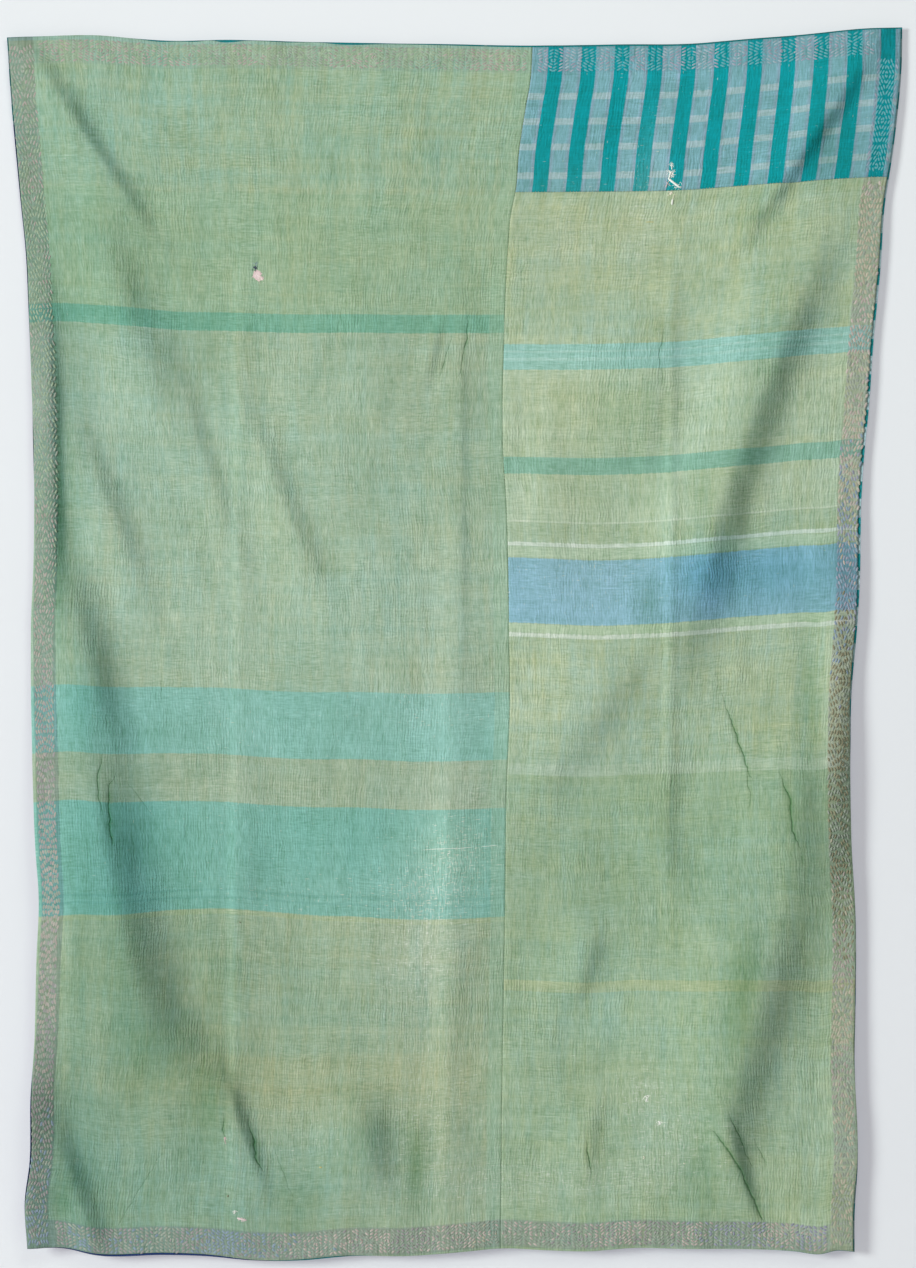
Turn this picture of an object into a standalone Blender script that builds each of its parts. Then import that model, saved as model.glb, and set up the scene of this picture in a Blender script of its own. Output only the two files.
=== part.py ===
"""A kantha quilt hanging from its two top corners.

Worn cotton cloths are laid over one another and sewn through with running stitch. Four cut pieces
show: the backing cloth, and on its front a left panel, a right panel and a striped patch above the
right panel. Each is a thin closed sheet, and all four follow the same outline and the same folds.

Metres, +Z up. The front faces -Y, and +X is to the right of someone who looks at the front. The
origin is the middle of the top edge, where the quilt is held up.
"""

import bpy
import numpy as np

# Cloth thicknesses, and the gaps that keep the pieces apart.
BACKING_THICKNESS = 0.0011
FRONT_THICKNESS = 0.0010
LAYER_GAP = 0.0003
SEAM_GAP = 0.0003
BACKING_RIM = 0.0022  # how far the backing shows past the front all round

# Cells of the grid that every sheet is built on.
CELL_WIDTH = 0.036
CELL_DROP = 0.044

# Shares of the quilt's width and drop where its pieces meet.
SEAM_SHARE = 0.5875  # between the left panel and the right column
PATCH_SHARE = 0.122  # between the striped patch and the right panel

# The outline. Side rows are (share of the drop, x); top and bottom rows are (share of the width, z).
LEFT_EDGE = (
    (0.00, -0.748), (0.06, -0.740), (0.13, -0.727), (0.18, -0.717), (0.22, -0.713), (0.30, -0.706),
    (0.43, -0.702), (0.49, -0.705), (0.60, -0.700), (0.67, -0.694), (0.71, -0.689), (0.76, -0.694),
    (0.82, -0.699), (0.87, -0.707), (0.93, -0.709), (0.96, -0.717), (1.00, -0.714),
)
RIGHT_EDGE = (
    (0.00, 0.737), (0.03, 0.736), (0.08, 0.727), (0.10, 0.722), (0.15, 0.707), (0.19, 0.702),
    (0.26, 0.689), (0.31, 0.682), (0.35, 0.674), (0.38, 0.670), (0.46, 0.666), (0.49, 0.662),
    (0.55, 0.652), (0.58, 0.651), (0.66, 0.652), (0.73, 0.660), (0.79, 0.660), (0.84, 0.658),
    (0.93, 0.663), (0.97, 0.658), (1.00, 0.658),
)
COLUMN_SEAM = (
    (0.00, 0.124), (0.03, 0.120), (0.05, 0.113), (0.09, 0.101), (0.12, 0.096), (0.14, 0.088),
    (0.17, 0.083), (0.25, 0.076), (0.34, 0.075), (0.38, 0.080), (0.50, 0.085), (0.54, 0.086),
    (0.63, 0.080), (0.72, 0.078), (0.88, 0.073), (1.00, 0.071),
)
TOP_EDGE = (
    (0.00, 0.011), (0.06, 0.014), (0.10, 0.014), (0.13, 0.011), (0.18, 0.006), (0.25, 0.007),
    (0.33, 0.004), (0.50, 0.000), (0.58, -0.002), (0.69, 0.000), (0.76, 0.001), (0.83, 0.009),
    (0.89, 0.016), (0.96, 0.026), (1.00, 0.028),
)
BOTTOM_EDGE = (
    (0.00, -1.998), (0.04, -1.997), (0.09, -2.010), (0.17, -2.009), (0.22, -2.011), (0.28, -2.018),
    (0.34, -2.018), (0.40, -2.011), (0.47, -2.010), (0.54, -2.002), (0.59, -1.996), (0.64, -1.999),
    (0.69, -2.001), (0.74, -1.996), (0.80, -1.998), (0.87, -1.999), (0.93, -2.003), (0.96, -2.008),
    (0.98, -2.002), (1.00, -2.004),
)

# Folds. Each is a ridge towards the viewer, or a trough where its height is below zero. It runs
# straight from its head to its foot, and its two sides have reaches of their own.
# head x, head z, foot x, foot z, height, reach to its left, reach to its right (m)
FOLDS = (
    # from the held left corner down the left side
    (-0.747, 0.037, -0.485, -0.364, 0.014, 0.050, 0.020),
    (-0.631, -0.225, -0.455, -0.723, 0.017, 0.053, 0.045),
    (-0.657, -0.590, -0.511, -0.955, 0.013, 0.046, 0.028),
    (-0.671, -0.823, -0.571, -1.221, 0.025, 0.056, 0.042),
    (-0.657, -1.063, -0.485, -1.802, 0.042, 0.183, 0.060),
    (-0.518, -1.553, -0.370, -1.835, 0.010, 0.066, 0.046),
    (-0.408, -1.677, -0.319, -1.926, 0.012, 0.043, 0.018),
    (-0.730, -1.619, -0.714, -2.034, 0.031, 0.040, 0.053),
    (-0.684, -1.777, -0.588, -2.034, 0.014, 0.037, 0.023),
    (-0.179, -1.719, -0.133, -1.935, 0.016, 0.066, 0.037),
    (-0.684, -0.341, -0.666, -0.989, 0.013, 0.027, 0.018),
    (-0.375, -0.565, -0.212, -0.955, 0.011, 0.043, 0.025),
    # from the held right corner down the right side
    (0.621, -0.258, 0.388, -0.856, 0.029, 0.106, 0.042),
    (0.461, -0.657, 0.342, -1.088, 0.024, 0.090, 0.045),
    (0.710, 0.032, 0.442, -0.361, 0.014, 0.050, 0.018),
    (0.355, -0.922, 0.070, -1.304, 0.012, 0.093, 0.043),
    (0.349, -0.374, 0.292, -0.756, 0.010, 0.093, 0.040),
    (0.335, -1.171, 0.339, -1.404, 0.008, 0.056, 0.027),
    (0.236, -1.445, 0.179, -1.611, 0.008, 0.046, 0.023),
    (0.226, -1.711, 0.199, -1.926, 0.006, 0.050, 0.022),
    (0.574, -1.055, 0.538, -1.470, 0.024, 0.116, 0.066),
    (0.551, -1.337, 0.398, -1.935, 0.035, 0.120, 0.060),
    (0.428, -1.744, 0.495, -1.976, 0.011, 0.037, 0.017),
    (0.623, -0.789, 0.631, -1.487, 0.009, 0.030, 0.025),
    # ridges left by storing the quilt folded in four
    (-0.362, -0.325, -0.364, -1.088, 0.003, 0.010, 0.023),
    (-0.364, -0.955, -0.369, -2.068, 0.0045, 0.012, 0.040),
    (0.002, -0.374, 0.002, -1.121, 0.0035, 0.033, 0.012),
    (-0.010, -0.989, -0.017, -2.068, 0.0055, 0.023, 0.030),
    # wide billows of the whole cloth
    (-0.262, -0.026, -0.046, -1.586, 0.018, 0.216, 0.249),
    (0.169, -0.341, 0.169, -1.420, 0.010, 0.100, 0.149),
)
FOLD_TAPER = 0.42  # share of a fold's length over which each end dies away
NARROWEST_REACH = 0.026  # what the grid below can still follow


def along(rows, at):
    """Values of a smooth curve through the rows, each (place, value), at the places given."""
    place, value = np.array(rows).T
    slope = np.gradient(value, place)
    at = np.clip(np.asarray(at, float), place[0], place[-1])
    i = np.clip(np.searchsorted(place, at) - 1, 0, len(place) - 2)
    span = place[i + 1] - place[i]
    t = (at - place[i]) / span
    rise = value[i + 1] - value[i]
    bend = t * (t - 1) * ((t - 1) * (slope[i] * span - rise) + t * (slope[i + 1] * span - rise))
    return value[i] + rise * t + bend


def fold_height(x, z, fold):
    """How far one fold stands towards the viewer at (x, z)."""
    head_x, head_z, foot_x, foot_z, height, left, right = fold
    run = np.array((foot_x - head_x, foot_z - head_z))
    length = np.hypot(*run)
    run = run / length
    share = ((x - head_x) * run[0] + (z - head_z) * run[1]) / length
    off = (z - head_z) * run[0] - (x - head_x) * run[1]  # above zero on the right
    reach = np.maximum(np.where(off > 0, right, left), NARROWEST_REACH)
    side = np.exp(-((off / reach) ** 2))
    past = np.maximum(np.abs(share - 0.5) - (0.5 - FOLD_TAPER), 0)
    return height * side * np.exp(-((past / FOLD_TAPER) ** 2) * 2.0)


def relief(x, z):
    """How far the cloth stands towards the viewer at (x, z)."""
    return sum(fold_height(x, z, fold) for fold in FOLDS)


def place_in_outline(across, down):
    """x and z of a point given as shares of the width and the drop."""
    left, seam, right = (along(rows, down) for rows in (LEFT_EDGE, COLUMN_SEAM, RIGHT_EDGE))
    in_left = left + (seam - left) * across / SEAM_SHARE
    in_right = seam + (right - seam) * (across - SEAM_SHARE) / (1 - SEAM_SHARE)
    x = np.where(across < SEAM_SHARE, in_left, in_right)
    z = along(TOP_EDGE, across) * (1 - down) + along(BOTTOM_EDGE, across) * down
    return x, z


def surface(across, down, lift):
    """Points of the draped cloth, lifted off its middle surface towards the viewer."""
    x, z = place_in_outline(across, down)
    step = 0.004
    slope_x = (relief(x + step, z) - relief(x - step, z)) / (2 * step)
    slope_z = (relief(x, z + step) - relief(x, z - step)) / (2 * step)
    normal = np.stack([-slope_x, -np.ones_like(x), -slope_z], axis=-1)
    normal /= np.linalg.norm(normal, axis=-1, keepdims=True)
    return np.stack([x, -relief(x, z), z], axis=-1) + normal * lift


def lines(start, end, size, cell):
    """Grid lines from one share to another, about a cell apart on a cloth of that size."""
    return np.linspace(start, end, 1 + max(1, round((end - start) * size / cell)))


def sheet(name, columns, rows, lift, thickness, material):
    """One cloth as a closed sheet: a draped grid of triangles, thickened both ways."""
    across, down = np.meshgrid(columns, rows)
    points = surface(across, down, lift)
    wide, tall = len(columns), len(rows)
    faces = []
    for r in range(tall - 1):
        for c in range(wide - 1):
            a = r * wide + c
            faces += [(a, a + wide, a + wide + 1), (a, a + wide + 1, a + 1)]
    mesh = bpy.data.meshes.new(name)
    mesh.from_pydata(points.reshape(-1, 3).tolist(), [], faces)
    mesh.materials.append(material)
    mesh.shade_smooth()
    obj = bpy.data.objects.new(name, mesh)
    bpy.context.scene.collection.objects.link(obj)
    shell = obj.modifiers.new("thickness", "SOLIDIFY")
    shell.thickness = thickness
    shell.offset = 0.0
    shell.use_even_offset = False
    return obj


def cloth_material(name, colour):
    """A matt woven cotton of one colour."""
    material = bpy.data.materials.new(name)
    material.use_nodes = True
    shader = material.node_tree.nodes["Principled BSDF"]
    shader.inputs["Base Color"].default_value = (*colour, 1.0)
    shader.inputs["Roughness"].default_value = 0.9
    shader.inputs["Metallic"].default_value = 0.0
    return material


def clear_scene():
    for obj in list(bpy.data.objects):
        bpy.data.objects.remove(obj)


clear_scene()

quilt_width = RIGHT_EDGE[0][1] - LEFT_EDGE[0][1]
quilt_drop = TOP_EDGE[0][1] - BOTTOM_EDGE[0][1]
rim_across = BACKING_RIM / quilt_width
rim_down = BACKING_RIM / quilt_drop
half_seam_across = SEAM_GAP / 2 / quilt_width
half_seam_down = SEAM_GAP / 2 / quilt_drop

# Grid lines that all four sheets share, so that the layers stay parallel.
left_columns = lines(rim_across, SEAM_SHARE, quilt_width, CELL_WIDTH)
right_columns = lines(SEAM_SHARE, 1 - rim_across, quilt_width, CELL_WIDTH)
patch_rows = lines(rim_down, PATCH_SHARE, quilt_drop, CELL_DROP)
lower_rows = lines(PATCH_SHARE, 1 - rim_down, quilt_drop, CELL_DROP)
all_rows = np.concatenate([patch_rows, lower_rows[1:]])

backing = sheet(
    "backing_cloth",
    np.concatenate([[0], left_columns, right_columns[1:], [1]]),
    np.concatenate([[0], all_rows, [1]]),
    0.0,
    BACKING_THICKNESS,
    cloth_material("teal_striped_backing", (0.05, 0.32, 0.34)),
)

front_lift = BACKING_THICKNESS / 2 + LAYER_GAP + FRONT_THICKNESS / 2
left_of_seam = np.append(left_columns[:-1], SEAM_SHARE - half_seam_across)
right_of_seam = np.append(SEAM_SHARE + half_seam_across, right_columns[1:])
sheet(
    "left_panel",
    left_of_seam,
    all_rows,
    front_lift,
    FRONT_THICKNESS,
    cloth_material("sage_green_cloth", (0.29, 0.43, 0.29)),
)
sheet(
    "striped_patch",
    right_of_seam,
    np.append(patch_rows[:-1], PATCH_SHARE - half_seam_down),
    front_lift,
    FRONT_THICKNESS,
    cloth_material("teal_and_grey_stripe", (0.10, 0.35, 0.38)),
)
sheet(
    "right_panel",
    right_of_seam,
    np.append(PATCH_SHARE + half_seam_down, lower_rows[1:]),
    front_lift,
    FRONT_THICKNESS,
    cloth_material("olive_green_cloth", (0.35, 0.46, 0.29)),
)
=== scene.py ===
"""A kantha quilt hanging from its two top corners: its cloths, its stitching, its worn places and
the studio it is shown in. Metres, +Z up; the front faces -Y, and +X is to a viewer's right."""

import bpy
import numpy as np
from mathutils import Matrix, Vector


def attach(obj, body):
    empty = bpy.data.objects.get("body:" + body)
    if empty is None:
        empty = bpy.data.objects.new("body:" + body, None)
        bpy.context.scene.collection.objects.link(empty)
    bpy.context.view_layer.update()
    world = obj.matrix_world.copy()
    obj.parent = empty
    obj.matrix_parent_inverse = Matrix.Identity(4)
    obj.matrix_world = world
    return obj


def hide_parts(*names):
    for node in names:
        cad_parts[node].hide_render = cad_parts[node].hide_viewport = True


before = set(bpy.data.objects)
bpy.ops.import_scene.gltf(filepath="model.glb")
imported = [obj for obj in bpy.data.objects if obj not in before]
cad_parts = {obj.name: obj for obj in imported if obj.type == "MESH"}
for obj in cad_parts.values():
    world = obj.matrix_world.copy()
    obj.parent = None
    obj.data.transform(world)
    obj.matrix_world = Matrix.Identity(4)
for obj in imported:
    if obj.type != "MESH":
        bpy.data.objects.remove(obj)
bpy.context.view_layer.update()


# ---- Backing cloth --------------------------------------------------------------------------------
# The cloth that everything is laid on and sewn to: a teal cotton with pale cross stripes, pieced
# with a plain navy cotton at the lower left. Its turned rim shows all round the front.

WIDTH = 1.485
DROP = 2.020
CLOTH_THICKNESS = 0.0010
BACKING_LIFT = -0.0006  # its back face, off the middle of the backing
BACKING_TURN = 0.0014  # how far its edge is turned towards the front
FRONT_LIFT = 0.0018  # the front face of the panels
RIM = 0.0015  # share of the width by which the backing stands past the front
SEAM = 0.5875  # where the left panel meets the right column, as a share of the width
PATCH_FOOT = 0.122  # where the striped patch meets the right panel, as a share of the drop
EDGE_ROLL = 0.0004  # how far a rolled edge stands out past the flat of its cloth
SEAM_GAP = 0.0002  # share by which each cloth stops short of a seam
# The lines of each mesh, so far apart: across and down.
BACKING_CELL = (0.006, 0.009)
PANEL_CELL = (0.0031, 0.0070)
PATCH_CELL = (0.0031, 0.0050)

# Side rows are (share of the drop, x); top and bottom rows are (share of the width, z).
LEFT_EDGE = (
    (0.00, -0.748), (0.06, -0.740), (0.13, -0.727), (0.18, -0.717), (0.22, -0.713), (0.30, -0.706),
    (0.43, -0.702), (0.49, -0.705), (0.60, -0.700), (0.67, -0.694), (0.71, -0.689), (0.76, -0.694),
    (0.82, -0.699), (0.87, -0.707), (0.93, -0.709), (0.96, -0.717), (1.00, -0.714),
)
RIGHT_EDGE = (
    (0.00, 0.737), (0.03, 0.736), (0.08, 0.727), (0.10, 0.722), (0.15, 0.707), (0.19, 0.702),
    (0.26, 0.689), (0.31, 0.682), (0.35, 0.674), (0.38, 0.670), (0.46, 0.666), (0.49, 0.662),
    (0.55, 0.652), (0.58, 0.651), (0.66, 0.652), (0.73, 0.660), (0.79, 0.660), (0.84, 0.658),
    (0.93, 0.663), (0.97, 0.658), (1.00, 0.658),
)
COLUMN_SEAM = (
    (0.00, 0.124), (0.03, 0.120), (0.05, 0.113), (0.09, 0.101), (0.12, 0.096), (0.14, 0.088),
    (0.17, 0.083), (0.25, 0.076), (0.34, 0.075), (0.38, 0.080), (0.50, 0.085), (0.54, 0.086),
    (0.63, 0.080), (0.72, 0.078), (0.88, 0.073), (1.00, 0.071),
)
TOP_EDGE = (
    (0.00, 0.011), (0.06, 0.014), (0.10, 0.014), (0.13, 0.011), (0.18, 0.006), (0.25, 0.007),
    (0.33, 0.004), (0.50, 0.000), (0.58, -0.002), (0.69, 0.000), (0.76, 0.001), (0.83, 0.009),
    (0.89, 0.016), (0.96, 0.026), (1.00, 0.028),
)
BOTTOM_EDGE = (
    (0.00, -1.998), (0.04, -1.997), (0.09, -2.010), (0.17, -2.009), (0.22, -2.011), (0.28, -2.018),
    (0.34, -2.018), (0.40, -2.011), (0.47, -2.010), (0.54, -2.002), (0.59, -1.996), (0.64, -1.999),
    (0.69, -2.001), (0.74, -1.996), (0.80, -1.998), (0.87, -1.999), (0.93, -2.003), (0.96, -2.008),
    (0.98, -2.002), (1.00, -2.004),
)

# head x, head z, foot x, foot z, height, reach to its left, reach to its right
FOLDS = (
    (-0.747, 0.037, -0.485, -0.364, 0.014, 0.050, 0.020),
    (-0.631, -0.225, -0.455, -0.723, 0.017, 0.053, 0.045),
    (-0.657, -0.590, -0.511, -0.955, 0.013, 0.046, 0.028),
    (-0.671, -0.823, -0.571, -1.221, 0.025, 0.056, 0.042),
    (-0.657, -1.063, -0.485, -1.802, 0.042, 0.183, 0.060),
    (-0.518, -1.553, -0.370, -1.835, 0.010, 0.066, 0.046),
    (-0.408, -1.677, -0.319, -1.926, 0.012, 0.043, 0.018),
    (-0.730, -1.619, -0.714, -2.034, 0.031, 0.040, 0.053),
    (-0.684, -1.777, -0.588, -2.034, 0.014, 0.037, 0.023),
    (-0.179, -1.719, -0.133, -1.935, 0.016, 0.066, 0.037),
    (-0.684, -0.341, -0.666, -0.989, 0.013, 0.027, 0.018),
    (-0.375, -0.565, -0.212, -0.955, 0.011, 0.043, 0.025),
    (0.621, -0.258, 0.388, -0.856, 0.029, 0.106, 0.042),
    (0.461, -0.657, 0.342, -1.088, 0.024, 0.090, 0.045),
    (0.710, 0.032, 0.442, -0.361, 0.014, 0.050, 0.018),
    (0.355, -0.922, 0.070, -1.304, 0.012, 0.093, 0.043),
    (0.349, -0.374, 0.292, -0.756, 0.010, 0.093, 0.040),
    (0.335, -1.171, 0.339, -1.404, 0.008, 0.056, 0.027),
    (0.236, -1.445, 0.179, -1.611, 0.008, 0.046, 0.023),
    (0.226, -1.711, 0.199, -1.926, 0.006, 0.050, 0.022),
    (0.574, -1.055, 0.538, -1.470, 0.024, 0.116, 0.066),
    (0.551, -1.337, 0.398, -1.935, 0.035, 0.120, 0.060),
    (0.428, -1.744, 0.495, -1.976, 0.011, 0.037, 0.017),
    (0.623, -0.789, 0.631, -1.487, 0.009, 0.030, 0.025),
    (-0.362, -0.325, -0.364, -1.088, 0.003, 0.010, 0.023),
    (-0.364, -0.955, -0.369, -2.068, 0.0045, 0.012, 0.040),
    (0.002, -0.374, 0.002, -1.121, 0.0035, 0.033, 0.012),
    (-0.010, -0.989, -0.017, -2.068, 0.0055, 0.023, 0.030),
    (-0.262, -0.026, -0.046, -1.586, 0.018, 0.216, 0.249),
    (0.169, -0.341, 0.169, -1.420, 0.010, 0.100, 0.149),
    (-0.495, -0.474, -0.352, -0.906, 0.006, 0.037, 0.022),
    (0.355, -0.258, 0.350, -1.420, 0.003, 0.010, 0.012),
    (-0.030, -0.449, -0.058, -0.577, 0.004, 0.018, 0.010),
)
FOLD_TAPER = 0.42  # share of its length over which each end of a fold dies away
FOLD_FADE = 2.0  # how far it has died away by then

# How the weave is pulled down: centre across, centre down, reach across, reach down, all as shares.
PULLS = (
    (0.22, 0.66, 0.24, 0.20, -0.0095),
    (0.27, 0.73, 0.10, 0.06, -0.0040),
    (0.02, 0.73, 0.06, 0.05, 0.0040),
    (0.03, 0.22, 0.12, 0.12, -0.0038),
    (1.00, 0.33, 0.15, 0.30, -0.0060),
    (0.72, 0.45, 0.08, 0.12, 0.0025),
)

ROW_PITCH = 0.0051  # between the rows of running stitch
STITCH_PITCH = 0.0075  # from one stitch to the next in a row
# Small crinkles: how wide, how tall, how high.
CRINKLES = ((0.022, 0.050, 0.0006), (0.050, 0.085, 0.0011), (0.130, 0.190, 0.0022))
CELLS = 128  # bumps before a field of crinkles repeats, each way
CELL_SHIFT = 1000  # keeps every bump's number above nought


def along(rows, at):
    """Values of a smooth curve through the rows, each (place, value), at the places given."""
    place, value = np.array(rows).T
    slope = np.gradient(value, place)
    at = np.clip(np.asarray(at, float), place[0], place[-1])
    i = np.clip(np.searchsorted(place, at) - 1, 0, len(place) - 2)
    span = place[i + 1] - place[i]
    t = (at - place[i]) / span
    rise = value[i + 1] - value[i]
    bend = t * (t - 1) * ((t - 1) * (slope[i] * span - rise) + t * (slope[i + 1] * span - rise))
    return value[i] + rise * t + bend


def fold_height(x, z, fold):
    """How far one fold stands towards the viewer at (x, z)."""
    head_x, head_z, foot_x, foot_z, height, left, right = fold
    run = np.array((foot_x - head_x, foot_z - head_z))
    length = np.hypot(*run)
    run = run / length
    share = ((x - head_x) * run[0] + (z - head_z) * run[1]) / length
    off = (z - head_z) * run[0] - (x - head_x) * run[1]
    side = np.exp(-((off / np.where(off > 0, right, left)) ** 2))
    past = np.maximum(np.abs(share - 0.5) - (0.5 - FOLD_TAPER), 0)
    return height * side * np.exp(-((past / FOLD_TAPER) ** 2) * FOLD_FADE)


def crinkle(u, v, wide, tall, seed):
    """A smooth random height from -1 to 1 whose bumps are about that wide and that tall."""
    cells = np.random.default_rng(seed).uniform(-1, 1, (CELLS, CELLS))
    a = np.asarray(u) / wide + CELL_SHIFT
    b = np.asarray(v) / tall + CELL_SHIFT
    i = np.floor(a).astype(int)
    j = np.floor(b).astype(int)
    s = a - i
    t = b - j
    s = s * s * (3 - 2 * s)
    t = t * t * (3 - 2 * t)
    i, right = i % CELLS, (i + 1) % CELLS
    j, below = j % CELLS, (j + 1) % CELLS
    near = cells[j, i] * (1 - s) + cells[j, right] * s
    far = cells[below, i] * (1 - s) + cells[below, right] * s
    return near * (1 - t) + far * t


def relief(x, z):
    """How far the cloth stands towards the viewer at (x, z)."""
    return sum(fold_height(x, z, fold) for fold in FOLDS)


def puckers(x, z):
    """The small crinkles that the stitching draws up."""
    sizes = enumerate(CRINKLES)
    return sum(size * crinkle(x, z, wide, tall, seed) for seed, (wide, tall, size) in sizes)


def in_outline(across, down):
    """x and z of a point given as shares of the width and the drop."""
    left = along(LEFT_EDGE, down)
    seam = along(COLUMN_SEAM, down)
    right = along(RIGHT_EDGE, down)
    in_left = left + (seam - left) * across / SEAM
    in_right = seam + (right - seam) * (across - SEAM) / (1 - SEAM)
    x = np.where(across < SEAM, in_left, in_right)
    z = along(TOP_EDGE, across) * (1 - down) + along(BOTTOM_EDGE, across) * down
    return x, z


def drape(across, down, lift):
    """Points of the hanging cloth, lifted off its middle towards the viewer."""
    x, z = in_outline(across, down)
    step = 0.003
    slope_x = (relief(x + step, z) - relief(x - step, z)) / (2 * step)
    slope_z = (relief(x, z + step) - relief(x, z - step)) / (2 * step)
    normal = np.stack([-slope_x, -np.ones_like(x), -slope_z], axis=-1)
    normal /= np.linalg.norm(normal, axis=-1, keepdims=True)
    raised = (np.asarray(lift) + puckers(x, z))[..., None]
    return np.stack([x, -relief(x, z), z], axis=-1) + normal * raised


def weave_place(across, down):
    """Metres along the weft and down the warp, following how the weave has been pulled."""
    pulled = np.array(down, float)
    for mid_across, mid_down, wide, tall, pull in PULLS:
        near = ((across - mid_across) / wide) ** 2 + ((down - mid_down) / tall) ** 2
        pulled = pulled - pull * np.exp(-near)
    return across * WIDTH, pulled * DROP


def row_wobble(u, v):
    """How far a row of running stitch strays sideways: a slow drift, and a zigzag as stitches align."""
    phase = v / 0.0215 + 1.6 * crinkle(u, v, 0.060, 0.050, 13)
    zigzag = 4 * np.abs(phase - np.floor(phase) - 0.5) - 1
    strong = 0.55 + 0.45 * crinkle(u, v, 0.090, 0.070, 14)
    drift = 0.0016 * crinkle(u, v, 0.080, 0.030, 11) + 0.004 * crinkle(u, v, 0.30, 0.25, 12)
    return drift + 0.0010 * strong * zigzag


def grid_lines(start, end, size, cell):
    """Shares from start to end, about a cell apart on a cloth of that size."""
    return np.linspace(start, end, 1 + round((end - start) * size / cell))


def turned(lines, size):
    """Adds two lines past each end, for the edge that is rolled back, and says how far each is."""
    out = EDGE_ROLL / size
    before = [lines[0], lines[0] - out]
    after = [lines[-1] + out, lines[-1]]
    depth = [1.0, 0.5] + [0.0] * len(lines) + [0.5, 1.0]
    return np.concatenate([before, lines, after]), np.array(depth)


def set_values(mesh, label, values, kind="FLOAT"):
    """Gives each point of a mesh its own value, place or colour."""
    field = {"FLOAT": "value", "FLOAT_VECTOR": "vector", "FLOAT_COLOR": "color"}[kind]
    mesh.attributes.new(label, kind, "POINT").data.foreach_set(field, np.ravel(values))


def mark_weave(mesh, across, down):
    """Gives each point of a cloth its place in the weave and its row of stitching."""
    u, v = weave_place(across, down)
    set_values(mesh, "weave", np.stack([u, v, np.zeros_like(u)], axis=-1), "FLOAT_VECTOR")
    set_values(mesh, "stitch_row", (u - row_wobble(u, v)) / ROW_PITCH)


def add_piece(name, points, faces, flat, material):
    """A smooth piece of the quilt; flat is each point's place on the piece's own map."""
    mesh = bpy.data.meshes.new(name)
    mesh.from_pydata(points.reshape(-1, 3).tolist(), [], faces)
    mesh.shade_smooth()
    corner = np.empty(len(mesh.loops), int)
    mesh.loops.foreach_get("vertex_index", corner)
    on_map = flat.reshape(-1, 2)[corner]
    mesh.uv_layers.new(name="OFBake").data.foreach_set("uv", on_map.ravel())
    mesh.materials.append(material)
    piece = bpy.data.objects.new(name, mesh)
    bpy.context.scene.collection.objects.link(piece)
    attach(piece, "root")
    return piece


def lay_cloth(
    name, columns, rows, node_name, material,
    lift=FRONT_LIFT, depth=CLOTH_THICKNESS, front=True,
):
    """A draped cloth with rolled edges; a front cloth is also hemmed, faded, given painted fold shade
    and worn.
    """
    columns, column_turn = turned(columns, WIDTH)
    rows, row_turn = turned(rows, DROP)
    across, down = np.meshgrid(columns, rows)
    if front:
        across, down = hem(across, down)
    turn = np.maximum(column_turn[None, :], row_turn[:, None])
    points = drape(across, down, lift - depth * turn)
    wide = len(columns)
    first = (np.arange(len(rows) - 1)[:, None] * wide + np.arange(wide - 1)).ravel()
    quads = np.stack([first, first + wide, first + wide + 1, first + 1], axis=1)
    to_right = (across - columns[0]) / (columns[-1] - columns[0])
    to_foot = (down - rows[0]) / (rows[-1] - rows[0])
    flat = np.stack([to_right, 1 - to_foot], axis=-1)
    cloth = add_piece(name, points, quads.tolist(), flat, material)
    mark_weave(cloth.data, across, down)
    if front:
        mark_wear_and_shade(cloth.data, across, down)
    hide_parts(node_name)
    return cloth


def add_node(tree, kind, inputs=None, **settings):
    """Adds a shader node; an input is given a value, or the output that feeds it."""
    made = tree.nodes.new(kind)
    for key, value in settings.items():
        setattr(made, key, value)
    for key, value in (inputs or {}).items():
        if isinstance(value, bpy.types.NodeSocket):
            tree.links.new(value, made.inputs[key])
        else:
            made.inputs[key].default_value = value
    return made


def calc(tree, operation, *values):
    """A Math node's output."""
    return add_node(tree, "ShaderNodeMath", dict(enumerate(values)), operation=operation).outputs[0]


def blend(tree, factor, low, high, how="MIX"):
    """A colour Mix node's output."""
    inputs = {0: factor, 6: low, 7: high}
    return add_node(tree, "ShaderNodeMix", inputs, data_type="RGBA", blend_type=how).outputs[2]


def ramp(tree, value, low, high, at_low=0.0, at_high=1.0):
    """Goes evenly from one number to another as the value goes from low to high."""
    inputs = {0: value, 1: low, 2: high, 3: at_low, 4: at_high}
    return add_node(tree, "ShaderNodeMapRange", inputs).outputs[0]


def grain(tree, weave, across, down, shift=0.0, detail=2.0):
    """Noise with so many lumps to the metre across the cloth and down it, from 0 to 1 about 0.5."""
    stretched = {0: weave, 1: (across, down, 0.0), 2: (shift, shift, shift)}
    place = add_node(tree, "ShaderNodeVectorMath", stretched, operation="MULTIPLY_ADD").outputs[0]
    inputs = {"Vector": place, "Scale": 1.0, "Detail": detail, "Roughness": 0.55}
    return add_node(tree, "ShaderNodeTexNoise", inputs).outputs["Fac"]


def new_group(name, inputs, outputs):
    """An empty node group with these sockets, and its two ends."""
    group = bpy.data.node_groups.new(name, "ShaderNodeTree")
    for label, kind in inputs.items():
        group.interface.new_socket(name=label, in_out="INPUT", socket_type=kind)
    for label, kind in outputs.items():
        group.interface.new_socket(name=label, in_out="OUTPUT", socket_type=kind)
    return group, group.nodes.new("NodeGroupInput"), group.nodes.new("NodeGroupOutput")


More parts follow.
